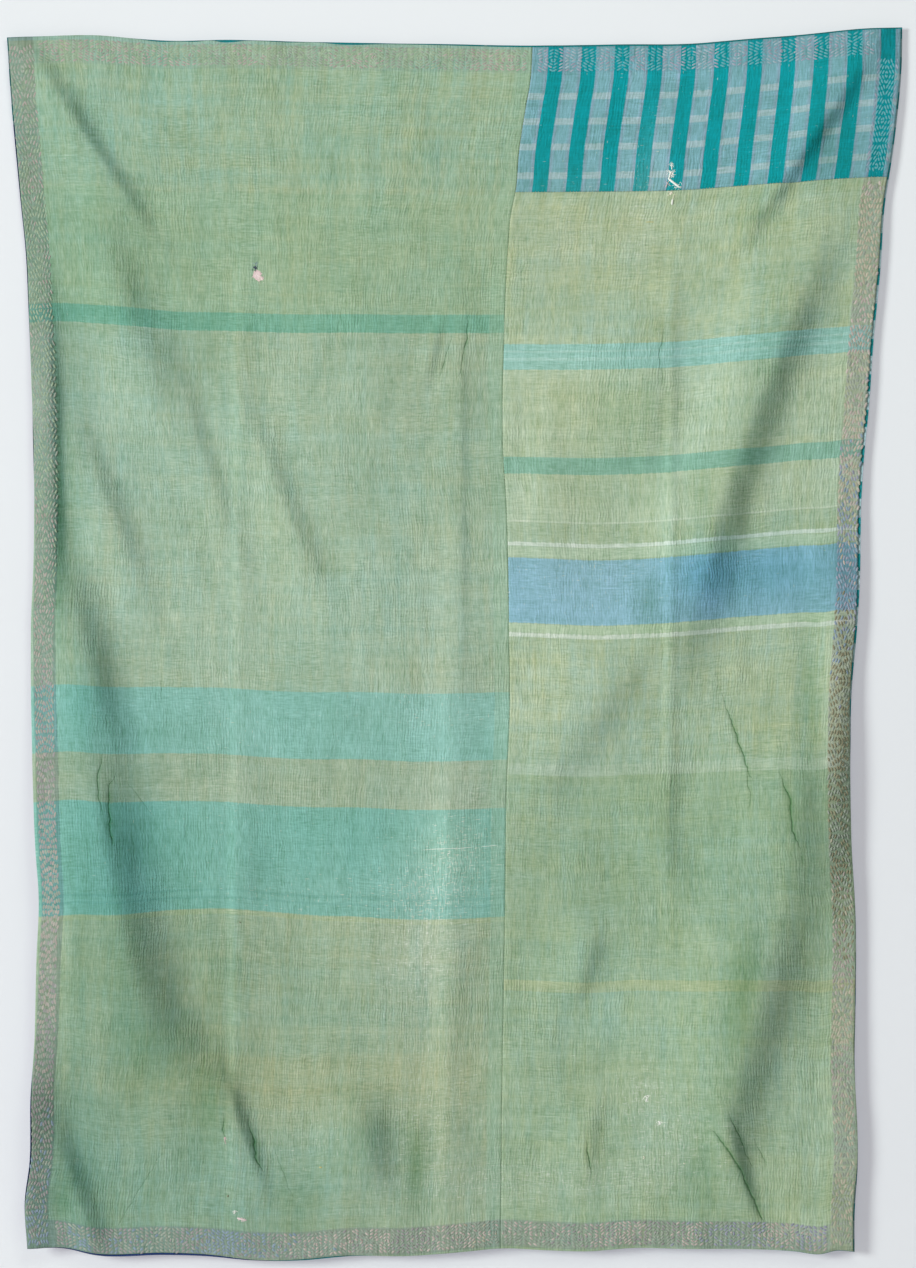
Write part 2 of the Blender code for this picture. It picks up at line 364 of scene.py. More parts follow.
def build_yarns():
    """Handloom yarns: warp streaks that waver, weft streaks and slubs, and the height of both."""
    group, start, end = new_group(
        "handloom_yarns",
        {"Weave": "NodeSocketVector"},
        {"Streak": "NodeSocketFloat", "Height": "NodeSocketFloat"},
    )
    weave = start.outputs["Weave"]
    waver = grain(group, weave, 55.0, 62.0, detail=1.0)
    sideways = calc(group, "MULTIPLY", calc(group, "SUBTRACT", waver, 0.5), 0.006)
    pushed = add_node(group, "ShaderNodeCombineXYZ", {0: sideways}).outputs[0]
    moved = add_node(group, "ShaderNodeVectorMath", {0: weave, 1: pushed}, operation="ADD").outputs[0]
    warp = grain(group, moved, 330.0, 45.0, detail=3.0)
    weft = grain(group, weave, 55.0, 340.0, 3.0, detail=3.0)
    patchy = grain(group, weave, 9.0, 7.0, 5.0)
    share = ramp(group, patchy, 0.35, 0.65, 0.15, 0.7)
    mixed = {0: share, 2: warp, 3: weft}
    woven = add_node(group, "ShaderNodeMix", mixed, data_type="FLOAT").outputs[0]
    picks = grain(group, weave, 2.6, 85.0, 11.0, detail=3.0)
    streak = calc(group, "MULTIPLY_ADD", woven, 2.1, calc(group, "MULTIPLY_ADD", picks, 0.4, -0.75))
    long_weft = grain(group, weave, 13.0, 330.0, 9.0)
    slub = calc(group, "MULTIPLY", ramp(group, long_weft, 0.62, 0.80), ramp(group, patchy, 0.46, 0.62))
    group.links.new(calc(group, "MULTIPLY_ADD", slub, 0.6, streak), end.inputs["Streak"])
    group.links.new(woven, end.inputs["Height"])
    return group


def build_ripples():
    """The puckers around rows of running stitch, stronger in some places than in others, with painted
    light on their crests and painted shade in their valleys.
    """
    group, start, end = new_group(
        "sewn_ripples",
        {"Row": "NodeSocketFloat", "Weave": "NodeSocketVector"},
        {"Height": "NodeSocketFloat", "Crest_light_and_shade": "NodeSocketFloat"},
    )
    weave = start.outputs["Weave"]
    near = grain(group, weave, 70.0, 48.0, detail=1.0)
    far = grain(group, weave, 22.0, 15.0, 8.0, detail=1.0)
    shift = calc(group, "MULTIPLY_ADD", far, 1.6, calc(group, "MULTIPLY", near, 1.2))
    row = calc(group, "ADD", start.outputs["Row"], calc(group, "SUBTRACT", shift, 1.4))
    valley = calc(group, "COSINE", calc(group, "MULTIPLY", row, 2 * np.pi))
    valley = calc(group, "MULTIPLY_ADD", valley, 0.5, 0.5)
    crest = calc(group, "SUBTRACT", 1.0, calc(group, "POWER", valley, 2.0))
    down = add_node(group, "ShaderNodeSeparateXYZ", {0: weave}).outputs[1]
    turn = calc(group, "MULTIPLY_ADD", down, 2 * np.pi / STITCH_PITCH, -np.pi)
    stitch = calc(group, "COSINE", calc(group, "MULTIPLY", start.outputs["Row"], np.pi))
    stitch = calc(group, "MULTIPLY", stitch, calc(group, "COSINE", turn))
    drawn = ramp(group, grain(group, weave, 190.0, 26.0, 17.0), 0.32, 0.68)
    height = calc(group, "MULTIPLY_ADD", crest, 0.55, calc(group, "MULTIPLY", drawn, 0.62))
    broad = grain(group, weave, 8.0, 6.0)
    close = grain(group, weave, 34.0, 22.0, 4.0)
    patchy = calc(group, "MULTIPLY_ADD", broad, 0.55, calc(group, "MULTIPLY", close, 0.45))
    strong = ramp(group, patchy, 0.42, 0.66, 0.30, 1.70)
    height = calc(group, "MULTIPLY_ADD", stitch, -0.09, height)
    group.links.new(calc(group, "MULTIPLY", height, strong), end.inputs["Height"])
    # painted light and shade: lighter on the crests, darker in the valleys
    shade = calc(group, "MULTIPLY", calc(group, "SUBTRACT", height, 0.65), strong)
    group.links.new(shade, end.inputs["Crest_light_and_shade"])
    return group


def build_blotches():
    """Uneven dye and fading, in clouds and in streaks along warp and weft: its tint and its depth."""
    group, start, end = new_group(
        "uneven_dye",
        {"Weave": "NodeSocketVector"},
        {"Cast": "NodeSocketFloat", "Depth": "NodeSocketFloat"},
    )
    patches = (
        # across, down (per metre), shift, detail, share in the tint, share in the depth
        (5.5, 4.5, 0.0, 4.0, 0.26, 0.00),
        (26.0, 3.2, 2.0, 3.0, 0.22, 0.00),
        (2.4, 42.0, 6.0, 3.0, 0.24, 0.00),
        (110.0, 90.0, 7.0, 2.0, 0.10, 0.00),
        (95.0, 9.0, 13.0, 2.0, 0.26, 0.20),
        (14.0, 9.0, 12.0, 2.0, 0.00, 0.45),
        (60.0, 11.0, 15.0, 2.0, 0.00, 0.40),
        (6.0, 70.0, 18.0, 2.0, 0.00, 0.25),
    )
    tint = 0.0
    depth = 0.0
    for across, down, shift, detail, in_tint, in_depth in patches:
        patch = grain(group, start.outputs["Weave"], across, down, shift, detail=detail)
        if in_tint:
            tint = calc(group, "MULTIPLY_ADD", patch, in_tint, tint)
        if in_depth:
            depth = calc(group, "MULTIPLY_ADD", patch, in_depth, depth)
    group.links.new(ramp(group, tint, 0.42, 0.66), end.inputs["Cast"])
    group.links.new(calc(group, "SUBTRACT", depth, 0.65), end.inputs["Depth"])
    return group


yarns = build_yarns()
ripples = build_ripples()
blotches = build_blotches()

SHADE_AND_DYE_SHARES = (1.25, 0.92, 1.22)  # darker is greener, for deeper dye and for painted shade alike: how much each of R, G, B follows it
WARM_SHARES = (0.17, 0.00, -0.14)  # a warm stain is redder and less blue, and the cooler painted fold shade the other way
LIGHT_SHARE = 0.28  # how much a stain mark or a painted fold shade counts in how light the cloth is
WORN_THREAD = (0.500, 0.560, 0.470)
# How much the yarns' streaks, the ripples' painted light and shade on crests and valleys, the dye and
# each stitch change the light.
STREAK_LIGHT = 0.55
CREST_LIGHT = 0.15
DYE_LIGHT = 0.55
STITCH_LIGHT = 0.06
RAGGED = 0.0024  # how far yarns carry a band's colour past its edge
EDGE_SOFT = 0.0008  # over which that edge fades, each way
RIPPLE_HEIGHT = 0.00038
YARN_HEIGHT = 0.0007
CREASE_DEPTH = 0.0014
# how dark the painted shade of a crease makes the colour
CREASE_PAINTED_SHADE = 0.62
CREASE_ASTRAY = 0.012  # how far a crease wavers, all in all
CREASE_FULL = 0.0015  # a crease this wide is at its darkest
# The painted shade of a crease, a dark line and a soft shade beside it: reach, in widths, and how dark.
CREASE_SHADES = ((6.0, 0.45), (1.3, 0.50))


class Cotton:
    """A material being put together: its tree, and what the cloth's own weave gives it."""

    def __init__(self, name):
        self.material = bpy.data.materials.new(name)
        self.material.use_nodes = True
        self.tree = self.material.node_tree
        self.shader = self.tree.nodes["Principled BSDF"]
        self.weave = self.read("weave").outputs["Vector"]
        row = self.read("stitch_row").outputs["Fac"]
        self.sewn = self.read("sewn").outputs["Fac"]
        place = add_node(self.tree, "ShaderNodeSeparateXYZ", {0: self.weave})
        self.u = place.outputs[0]
        self.v = place.outputs[1]
        self.yarn = self.use(yarns, Weave=self.weave)
        self.ripple = self.use(ripples, Row=row, Weave=self.weave)
        dye = self.use(blotches, Weave=self.weave).outputs
        self.cast = dye["Cast"]
        self.depth = dye["Depth"]

    def read(self, label):
        """What the mesh says of each point under this label."""
        return add_node(self.tree, "ShaderNodeAttribute", attribute_name=label)

    def use(self, group, **inputs):
        """A node group at work, fed with these inputs."""
        return add_node(self.tree, "ShaderNodeGroup", inputs, node_tree=group)

    def shaded_and_deepened(self, base, light):
        """The colour made lighter or darker by dye and by painted light and shade, the darker the
        greener.
        """
        parts = {
            i: calc(self.tree, "MULTIPLY_ADD", light, share, 1 - share)
            for i, share in enumerate(SHADE_AND_DYE_SHARES)
        }
        shade = add_node(self.tree, "ShaderNodeCombineColor", parts).outputs[0]
        return blend(self.tree, 1.0, base, shade, "MULTIPLY")

    def worn_pale(self, base):
        """The colour paler where it is worn, with flecks of white thread."""
        worn = self.read("worn").outputs["Fac"]
        flecks = 0.0
        for across, down, shift in ((75.0, 480.0, 21.0), (520.0, 90.0, 23.0)):
            dash = grain(self.tree, self.weave, across, down, shift, detail=1.0)
            near = calc(self.tree, "MULTIPLY_ADD", worn, 0.17, dash)
            flecks = calc(self.tree, "MAXIMUM", ramp(self.tree, near, 0.74, 0.80), flecks)
        share = calc(self.tree, "MULTIPLY", worn, 0.16)
        share = calc(self.tree, "MULTIPLY_ADD", flecks, 0.60, share)
        return blend(self.tree, share, base, (*WORN_THREAD, 1.0))

    def strip(self, place, size, start, end):
        """Where the cloth lies between two shares of a side, with a ragged, soft edge."""
        ragged = calc(self.tree, "MULTIPLY_ADD", self.yarn.outputs["Streak"], RAGGED, place)
        middle = (start + end) / 2 * size + RAGGED / 2
        off = calc(self.tree, "ABSOLUTE", calc(self.tree, "SUBTRACT", ragged, middle))
        half = (end - start) / 2 * size
        return ramp(self.tree, off, half + EDGE_SOFT, half - EDGE_SOFT)

    def bands(self, base, rows, place, size):
        """The base colour with each (start, end, colour, strength) band laid on it, as shares."""
        for start, end, colour, strength in rows:
            share = calc(self.tree, "MULTIPLY", self.strip(place, size, start, end), strength)
            base = blend(self.tree, share, base, (*colour, 1.0))
        return base

    def under_embroidery(self, base, side, ends):
        """The base colour darkened under a side band and under the bands at the ends, once each: partly
        painted shade between the embroidery's stitches, partly wear and the threads' tint.
        """
        beside = self.strip(self.u, WIDTH, *side[:2])
        base = blend(self.tree, beside, base, (*side[2], 1.0), "MULTIPLY")
        for start, end, tint in ends:
            share = calc(self.tree, "SUBTRACT", self.strip(self.v, DROP, start, end), beside)
            share = calc(self.tree, "MAXIMUM", share, 0.0)
            base = blend(self.tree, share, base, (*tint, 1.0), "MULTIPLY")
        return base

    def creased(self):
        """How much painted shade the pressed creases get, each a thin dark line that wavers in a soft
        shade.
        """
        tree = self.tree
        astray = grain(tree, self.weave, 45.0, 38.0, 31.0)
        astray = calc(tree, "MULTIPLY_ADD", astray, CREASE_ASTRAY, -CREASE_ASTRAY / 2)
        dark = 0.0
        for turn in (0, 1):
            off = self.read(f"crease_off_{turn}").outputs["Fac"]
            width = self.read(f"crease_width_{turn}").outputs["Fac"]
            off = calc(tree, "ABSOLUTE", calc(tree, "ADD", off, astray))
            shade = 0.0
            for reach, share in CREASE_SHADES:
                beside = calc(tree, "DIVIDE", off, calc(tree, "MULTIPLY", width, reach))
                inside = calc(tree, "MAXIMUM", calc(tree, "SUBTRACT", 1.0, beside), 0.0)
                inside = calc(tree, "MULTIPLY", inside, inside)
                shade = calc(tree, "MULTIPLY_ADD", inside, share, shade)
            strong = calc(tree, "MINIMUM", calc(tree, "DIVIDE", width, CREASE_FULL), 1.0)
            dark = calc(tree, "MAXIMUM", calc(tree, "MULTIPLY", shade, strong), dark)
        return dark

    def finish(self, colour, creased=0.0):
        """Lays the yarns' light and dark, the ripples' painted light and shade, the stain marks and the
        painted shade of creases and folds on the colour, and the height of yarns, ripples and creases
        on the bump.
        """
        tree = self.tree
        light = 1 - STREAK_LIGHT / 2
        for value, share in (
            (self.yarn.outputs["Streak"], STREAK_LIGHT),
            (self.ripple.outputs["Crest_light_and_shade"], CREST_LIGHT),
            (self.depth, DYE_LIGHT),
            (self.sewn, STITCH_LIGHT),
        ):
            light = calc(tree, "MULTIPLY_ADD", value, share, light)
        # painted shade along the creases
        shaded = calc(tree, "MULTIPLY_ADD", creased, -CREASE_PAINTED_SHADE, 1.0)
        # stain marks, with painted shade on the folds' flanks
        stained_and_shaded = calc(tree, "MULTIPLY_ADD", self.read("light").outputs["Fac"], LIGHT_SHARE, 1.0)
        light = calc(tree, "MULTIPLY", calc(tree, "MULTIPLY", light, shaded), stained_and_shaded)
        warm = self.read("warm").outputs["Fac"]
        tint = {i: calc(tree, "MULTIPLY_ADD", warm, k, 1.0) for i, k in enumerate(WARM_SHARES)}
        tint = add_node(tree, "ShaderNodeCombineColor", tint).outputs[0]
        colour = self.worn_pale(blend(tree, 1.0, colour, tint, "MULTIPLY"))
        tree.links.new(self.shaded_and_deepened(colour, light), self.shader.inputs["Base Color"])
        height = calc(tree, "MULTIPLY", self.ripple.outputs["Height"], RIPPLE_HEIGHT)
        height = calc(tree, "MULTIPLY_ADD", self.yarn.outputs["Height"], YARN_HEIGHT, height)
        height = calc(tree, "MULTIPLY_ADD", creased, -CREASE_DEPTH, height)
        bump = add_node(tree, "ShaderNodeBump", {"Strength": 1.0, "Distance": 1.0, "Height": height})
        tree.links.new(bump.outputs[0], self.shader.inputs["Normal"])
        self.shader.inputs["Roughness"].default_value = 0.95
        self.shader.inputs["Specular IOR Level"].default_value = 0.2
        self.shader.inputs["Sheen Weight"].default_value = 0.05
        self.shader.inputs["Sheen Roughness"].default_value = 0.5
        return self.material


BACKING_TEAL = (0.010, 0.225, 0.245)
BACKING_PALE = (0.300, 0.430, 0.460)
BACKING_NAVY = (0.022, 0.050, 0.160)
BACKING_STRIPE = 0.0292  # of the drop, from one teal stripe to the next
NAVY_ACROSS = 0.30  # the navy reaches this share of the width from the left
NAVY_DOWN = 0.072  # and starts at this share of the drop


def backing_material():
    """Teal and pale stripes across the cloth, and plain navy at the lower left."""
    cloth = Cotton("teal_striped_backing")
    tree = cloth.tree
    turns = calc(tree, "DIVIDE", calc(tree, "ADD", cloth.v, 0.006), BACKING_STRIPE * DROP)
    pale = ramp(tree, calc(tree, "FRACT", turns), 0.47, 0.49)
    striped = blend(tree, pale, (*BACKING_TEAL, 1), (*BACKING_PALE, 1))
    left = ramp(tree, cloth.u, NAVY_ACROSS * WIDTH + 0.001, NAVY_ACROSS * WIDTH)
    low = ramp(tree, cloth.v, NAVY_DOWN * DROP, NAVY_DOWN * DROP + 0.001)
    navy = calc(tree, "MULTIPLY", left, low)
    return cloth.finish(blend(tree, navy, striped, (*BACKING_NAVY, 1)))


backing = lay_cloth(
    "backing_cloth_draped",
    grid_lines(0, 1, WIDTH, BACKING_CELL[0]),
    grid_lines(0, 1, DROP, BACKING_CELL[1]),
    "backing_cloth",
    backing_material(),
    lift=BACKING_LIFT,
    depth=-BACKING_TURN,
    front=False,
)


# ---- Front ----------------------------------------------------------------------------------------
# What the three front cloths have in common: hems that let the backing's rim show, old fading and
# stain marks with painted shade on the folds' flanks, worn places, and creases pressed in by storing
# the quilt folded, with painted shade along them.

# How much of the backing's rim shows past the front, in metres: (share along the side, shown).
LEFT_RIM = (
    (0.00, 0.0022), (0.10, 0.0022), (0.14, 0.0014), (0.20, 0.0016), (0.25, 0.0006), (0.31, 0.0006),
    (0.33, 0.0018), (0.36, 0.0006), (0.86, 0.0005), (0.88, 0.0020), (0.95, 0.0020), (0.97, 0.0006),
    (1.00, 0.0006),
)
RIGHT_RIM = (
    (0.00, 0.0022), (0.57, 0.0022), (0.60, 0.0008), (0.75, 0.0006), (0.80, 0.0012), (0.83, 0.0006),
    (0.93, 0.0008), (0.95, 0.0022), (1.00, 0.0022),
)
TOP_RIM = (
    (0.00, 0.0006), (0.15, 0.0006), (0.17, 0.0024), (0.19, 0.0009), (0.21, 0.0018), (0.23, 0.0008),
    (0.24, 0.0042), (0.27, 0.0008), (0.31, 0.0016), (0.35, 0.0007), (0.37, 0.0034), (0.43, 0.0012),
    (0.50, 0.0022), (1.00, 0.0022),
)
BOTTOM_RIM = (
    (0.00, 0.0006), (0.03, 0.0008), (0.06, 0.0022), (0.25, 0.0022), (0.28, 0.0010), (0.38, 0.0018),
    (0.41, 0.0006), (1.00, 0.0005),
)

# Old fading and stain marks, with painted shade along the folds' dark flanks in many rows: middle
# across and down, reach across and down (shares), then how warm (below zero: cool) and how light
# (below zero: dark) the cloth is there.
STAINS_AND_PAINTED_SHADE = (
    (0.123, 0.068, 0.129, 0.074, -0.35, 0.00),
    (0.359, 0.171, 0.210, 0.058, 0.25, -0.15),
    (0.272, 0.857, 0.269, 0.025, 0.75, 0.00),
    (0.484, 0.847, 0.070, 0.033, 0.60, 0.10),
    (0.336, 0.934, 0.140, 0.041, -0.60, 0.00),
    (0.054, 0.918, 0.047, 0.074, -0.60, -0.25),
    (0.295, 0.352, 0.105, 0.049, -0.25, 0.10),
    (0.095, 0.331, 0.070, 0.099, -0.30, 0.00),
    (0.453, 0.459, 0.140, 0.049, -0.15, 0.30),
    (0.200, 0.480, 0.100, 0.060, -0.10, 0.20),
    (0.480, 0.760, 0.060, 0.090, -0.15, 0.25),
    (0.688, 0.162, 0.140, 0.049, 0.35, 0.00),
    (0.652, 0.295, 0.070, 0.049, 0.35, 0.05),
    (0.660, 0.536, 0.082, 0.058, 0.15, 0.25),
    (0.820, 0.662, 0.175, 0.082, -0.25, -0.30),
    (0.889, 0.861, 0.082, 0.082, -0.10, -0.20),
    (0.701, 0.801, 0.094, 0.033, -0.35, 0.10),
    (0.030, 0.333, 0.005, 0.131, -0.60, -0.60),
    (0.055, 0.560, 0.030, 0.090, -0.30, -0.30),
    (0.090, 0.720, 0.045, 0.090, -0.35, -0.35),
    (0.045, 0.270, 0.060, 0.200, -0.20, -0.35),
    (0.120, 0.960, 0.160, 0.090, -0.60, -0.45),
    (0.985, 0.575, 0.020, 0.100, 0.10, 0.60),
    (0.985, 0.435, 0.022, 0.035, -0.20, -0.70),
    (0.985, 0.870, 0.022, 0.100, 0.00, 0.50),
    (0.945, 0.980, 0.035, 0.014, 0.00, 0.80),
    (0.025, 0.455, 0.022, 0.060, -0.20, -0.60),
    (0.108, 0.760, 0.030, 0.050, -0.20, -0.50),
    (0.145, 0.731, 0.022, 0.035, 0.00, 0.60),
    (0.222, 0.872, 0.030, 0.045, -0.20, -0.90),
    (0.342, 0.953, 0.035, 0.030, 0.00, -0.70),
    (0.885, 0.267, 0.024, 0.050, 0.00, -0.80),
    (0.865, 0.345, 0.022, 0.045, 0.00, -0.40),
    (0.929, 0.093, 0.030, 0.040, -0.20, -0.80),
    (0.821, 0.932, 0.024, 0.045, -0.20, -0.80),
    (0.900, 0.803, 0.028, 0.060, 0.00, 0.60),
    (0.862, 0.795, 0.020, 0.050, 0.00, -0.90),
    (0.480, 0.928, 0.014, 0.036, 0.00, -1.20),
    (0.950, 0.545, 0.016, 0.050, -0.20, -0.70),
    (0.900, 0.452, 0.100, 0.022, -0.10, -0.50),
    (0.960, 0.640, 0.050, 0.080, 0.00, -0.40),
    (0.146, 0.834, 0.055, 0.037, -0.80, -0.90),
    (0.243, 0.774, 0.030, 0.025, -0.20, -0.50),
    (0.067, 0.539, 0.024, 0.037, -0.30, -0.50),
    (0.033, 0.399, 0.024, 0.050, -0.20, -0.50),
    (0.122, 0.185, 0.073, 0.066, -0.20, -0.40),
    (0.224, 0.257, 0.027, 0.041, 0.00, -0.40),
    (0.085, 0.333, 0.030, 0.090, 0.00, 0.40),
    (0.116, 0.424, 0.036, 0.050, 0.00, 0.30),
    (0.500, 0.604, 0.048, 0.140, 0.10, 0.50),
    (0.512, 0.670, 0.055, 0.033, 0.55, 0.00),
    (0.726, 0.325, 0.055, 0.058, 0.00, -0.55),
    (0.939, 0.908, 0.060, 0.058, 0.00, 0.45),
    (0.815, 0.440, 0.034, 0.028, -0.80, -0.20),
    (0.790, 0.436, 0.016, 0.026, 0.00, -0.30),
    (0.752, 0.470, 0.018, 0.028, 0.10, -0.80),
    (0.826, 0.466, 0.018, 0.016, 0.00, 0.60),
    (0.880, 0.770, 0.014, 0.030, 0.00, -0.80),
    (0.815, 0.380, 0.016, 0.030, 0.00, -0.60),
    (0.045, 0.960, 0.014, 0.020, 0.00, -0.70),
    (0.860, 0.142, 0.026, 0.025, 0.00, -0.70),
    (0.120, 0.697, 0.014, 0.020, 0.00, 0.60),
    (0.880, 0.438, 0.090, 0.028, -0.90, -0.25),
    (0.120, 0.640, 0.036, 0.080, -0.40, -0.25),
    (0.052, 0.760, 0.014, 0.090, -0.20, -0.60),
    (0.420, 0.895, 0.050, 0.035, -0.10, -0.50),
    (0.170, 0.720, 0.070, 0.100, -0.10, -0.35),
)
# Painted shade on the flanks that the folds turn away from the window light: from which slope on
# and up to how much, and how much cooler and deeper the colour is painted for each part of that.
PAINTED_SHADE_FROM = 0.12
PAINTED_SHADE_MOST = 0.6
PAINTED_SHADE_COOL = 0.6
PAINTED_SHADE_DEEP = 0.5

# Worn places, where pale thread shows through the dye: middle, reach (shares), and how much.
WORN = (
    (0.480, 0.750, 0.070, 0.060, 0.75),
    (0.530, 0.665, 0.060, 0.050, 0.65),
    (0.360, 0.700, 0.150, 0.022, 0.35),
    (0.500, 0.545, 0.120, 0.025, 0.35),
    (0.490, 0.900, 0.080, 0.070, 0.60),
    (0.748, 0.870, 0.032, 0.025, 0.70),
    (0.800, 0.915, 0.080, 0.040, 0.70),
    (0.640, 0.945, 0.130, 0.020, 0.70),
    (0.330, 0.900, 0.090, 0.050, 0.35),
    (0.650, 0.155, 0.080, 0.035, 0.45),
    (0.690, 0.420, 0.100, 0.050, 0.40),
    (0.240, 0.600, 0.040, 0.120, 0.30),
    (0.730, 0.140, 0.020, 0.060, 0.50),
)

# Creases pressed into the front, each a dent with painted shade along it: x, z and width (mm) at
# places along each. Neighbours in the list may lie close together; others don't.
CREASES = (
    ((-0.588, -1.179, 0.4), (-0.596, -1.213, 1.6), (-0.594, -1.249, 1.4), (-0.588, -1.279, 0.3)),
    (
        (-0.566, -1.208, 0.3), (-0.578, -1.233, 1.1), (-0.579, -1.266, 2.2),
        (-0.574, -1.316, 1.6), (-0.571, -1.330, 0.3),
    ),
    ((-0.548, -1.224, 0.3), (-0.526, -1.254, 0.6), (-0.506, -1.279, 0.3)),
    ((-0.387, -1.772, 0.3), (-0.390, -1.799, 1.6), (-0.385, -1.814, 0.4)),
    ((-0.347, -1.780, 0.4), (-0.340, -1.815, 2.0), (-0.334, -1.847, 2.4), (-0.325, -1.870, 0.4)),
    ((-0.304, -1.828, 0.3), (-0.287, -1.880, 0.7), (-0.272, -1.915, 0.3)),
    ((-0.491, -1.838, 0.3), (-0.526, -1.895, 0.7), (-0.564, -1.961, 0.4)),
    ((-0.490, -1.038, 0.3), (-0.491, -1.072, 0.7), (-0.490, -1.108, 0.3)),
    ((0.018, -0.444, 0.4), (0.013, -0.499, 1.6), (0.000, -0.554, 0.4)),
    ((-0.010, -0.482, 0.3), (-0.023, -0.532, 1.2), (-0.030, -0.552, 0.3)),
    ((0.437, -1.078, 0.4), (0.455, -1.125, 1.4), (0.476, -1.191, 1.7), (0.485, -1.214, 0.8)),
    ((0.481, -1.218, 0.8), (0.485, -1.241, 0.9), (0.483, -1.267, 0.3)),
    ((0.533, -1.209, 0.3), (0.549, -1.252, 2.4), (0.553, -1.294, 2.2), (0.566, -1.337, 0.3)),
    ((0.345, -0.466, 0.3), (0.335, -0.507, 1.0), (0.332, -0.557, 0.3)),
    ((0.342, -0.975, 0.3), (0.340, -1.013, 0.6), (0.335, -1.062, 0.3)),
    (
        (0.417, -1.795, 0.3), (0.445, -1.825, 2.2), (0.473, -1.877, 3.4),
        (0.498, -1.933, 2.6), (0.510, -1.955, 0.4),
    ),
    ((0.448, -1.769, 0.3), (0.465, -1.812, 1.8), (0.488, -1.862, 0.4)),
    ((0.491, -1.815, 0.3), (0.505, -1.842, 0.8), (0.515, -1.862, 0.3)),
    ((0.212, -1.814, 0.3), (0.217, -1.847, 1.8), (0.222, -1.878, 0.4)),
)
CREASE_GRASP = 0.007  # how far a crease is kept on each side, at least: more than the cloth's grid


def hem(across, down):
    """Moves the outer edge of a front cloth, so that as much of the backing's rim shows as should."""
    near = 0.012
    sides = (
        (across, LEFT_RIM, down, WIDTH, 1),
        (1 - across, RIGHT_RIM, down, WIDTH, -1),
        (down, TOP_RIM, across, DROP, 1),
        (1 - down, BOTTOM_RIM, across, DROP, -1),
    )
    moves = [
        sign * (along(rim, at) / size - RIM) * np.clip(1 - place / near, 0, 1)
        for place, rim, at, size, sign in sides
    ]
    return across + moves[0] + moves[1], down + moves[2] + moves[3]


def soft_spots(across, down, rows):
    """The sum of soft round spots, each (middle, reach, amount)."""
    total = np.zeros_like(across)
    for mid_across, mid_down, wide, tall, amount in rows:
        near = ((across - mid_across) / wide) ** 2 + ((down - mid_down) / tall) ** 2
        total += amount * np.exp(-near)
    return total


def nearest_crease(x, z, creases):
    """How far to the right of the nearest crease each point lies, and how wide that crease is."""
    least = np.full_like(x, np.inf)
    off = np.zeros_like(x)
    width = np.zeros_like(x)
    for crease in creases:
        last = len(crease) - 2
        for i, ((head_x, head_z, head_wide), (foot_x, foot_z, foot_wide)) in enumerate(
            zip(crease[:-1], crease[1:])
        ):
            run = np.array((foot_x - head_x, foot_z - head_z))
            share = ((x - head_x) * run[0] + (z - head_z) * run[1]) / (run @ run)
            past = ((share < 0) & (i == 0)) | ((share > 1) & (i == last))
            share = np.clip(share, 0, 1)
            far = np.hypot(x - head_x - share * run[0], z - head_z - share * run[1])
            side = np.sign((z - head_z) * run[0] - (x - head_x) * run[1])
            wide = 0.001 * (head_wide + share * (foot_wide - head_wide))
            reach = np.maximum(CREASE_SHADES[0][0] * wide, np.where(past, 0, CREASE_GRASP))
            nearer = far < least
            least = np.where(nearer, far, least)
            off = np.where(nearer, side * far, off)
            width = np.where(nearer, np.where(far < reach, wide, 0), width)
    return off, width


def mark_wear_and_shade(mesh, across, down):
    """Gives each point of the front its fading and stain marks with painted fold shade, its wear and
    its place beside the creases.
    """
    x, z = in_outline(across, down)
    step = 0.004
    slope = (relief(x - step, z) - relief(x + step, z)) / (2 * step)
    # painted shade where the cloth slopes away from the window light
    painted_shade = np.clip(slope - PAINTED_SHADE_FROM, 0, PAINTED_SHADE_MOST)
    # stain marks, and painted shade laid along the folds' dark flanks
    warm = soft_spots(across, down, [(*row[:4], row[4]) for row in STAINS_AND_PAINTED_SHADE])
    light = soft_spots(across, down, [(*row[:4], row[5]) for row in STAINS_AND_PAINTED_SHADE])
    set_values(mesh, "warm", warm - PAINTED_SHADE_COOL * painted_shade)
    set_values(mesh, "light", light - PAINTED_SHADE_DEEP * painted_shade)
    set_values(mesh, "worn", soft_spots(across, down, WORN))
    for turn in (0, 1):
        off, width = nearest_crease(x, z, CREASES[turn::2])
        set_values(mesh, f"crease_off_{turn}", off)
        set_values(mesh, f"crease_width_{turn}", width)


# ---- Left panel -----------------------------------------------------------------------------------
# A worn sage-green handloom cotton, cut the full height of the quilt. Its weft stripes are woven
# in: a thin teal one high up, and two broad teal bands below the middle.

SAGE = (0.325, 0.398, 0.246)
SAGE_TEAL = (0.242, 0.392, 0.298)
LEFT_STRIPES = (
    # start, end (shares of the drop), colour, strength
    (0.1250, 0.2240, (0.260, 0.395, 0.262), 0.35),
    (0.0000, 0.0032, (0.270, 0.430, 0.370), 0.60),
    (0.2240, 0.2392, (0.115, 0.350, 0.265), 0.68),
    (0.2392, 0.5385, (0.335, 0.430, 0.345), 0.30),
    (0.5385, 0.5950, (0.200, 0.425, 0.372), 0.88),
    (0.5950, 0.6352, (0.305, 0.385, 0.290), 0.50),
    (0.6352, 0.7255, (0.158, 0.398, 0.345), 0.84),
    (0.7090, 0.7110, (0.130, 0.335, 0.280), 0.5),
    (0.7150, 0.7170, (0.130, 0.335, 0.280), 0.5),
    (0.7262, 0.7300, (0.330, 0.390, 0.225), 0.5),
    (0.7300, 1.0100, (0.275, 0.325, 0.220), 0.25),
)
# The selvage down the seam, then a dark line at its edge that is painted shade along the seam: shares
# of the width.
LEFT_SELVAGE = (
    (0.5690, 0.5868, (0.270, 0.420, 0.300), 0.40),
    (0.5857, 0.5880, (0.150, 0.290, 0.140), 0.30),
)
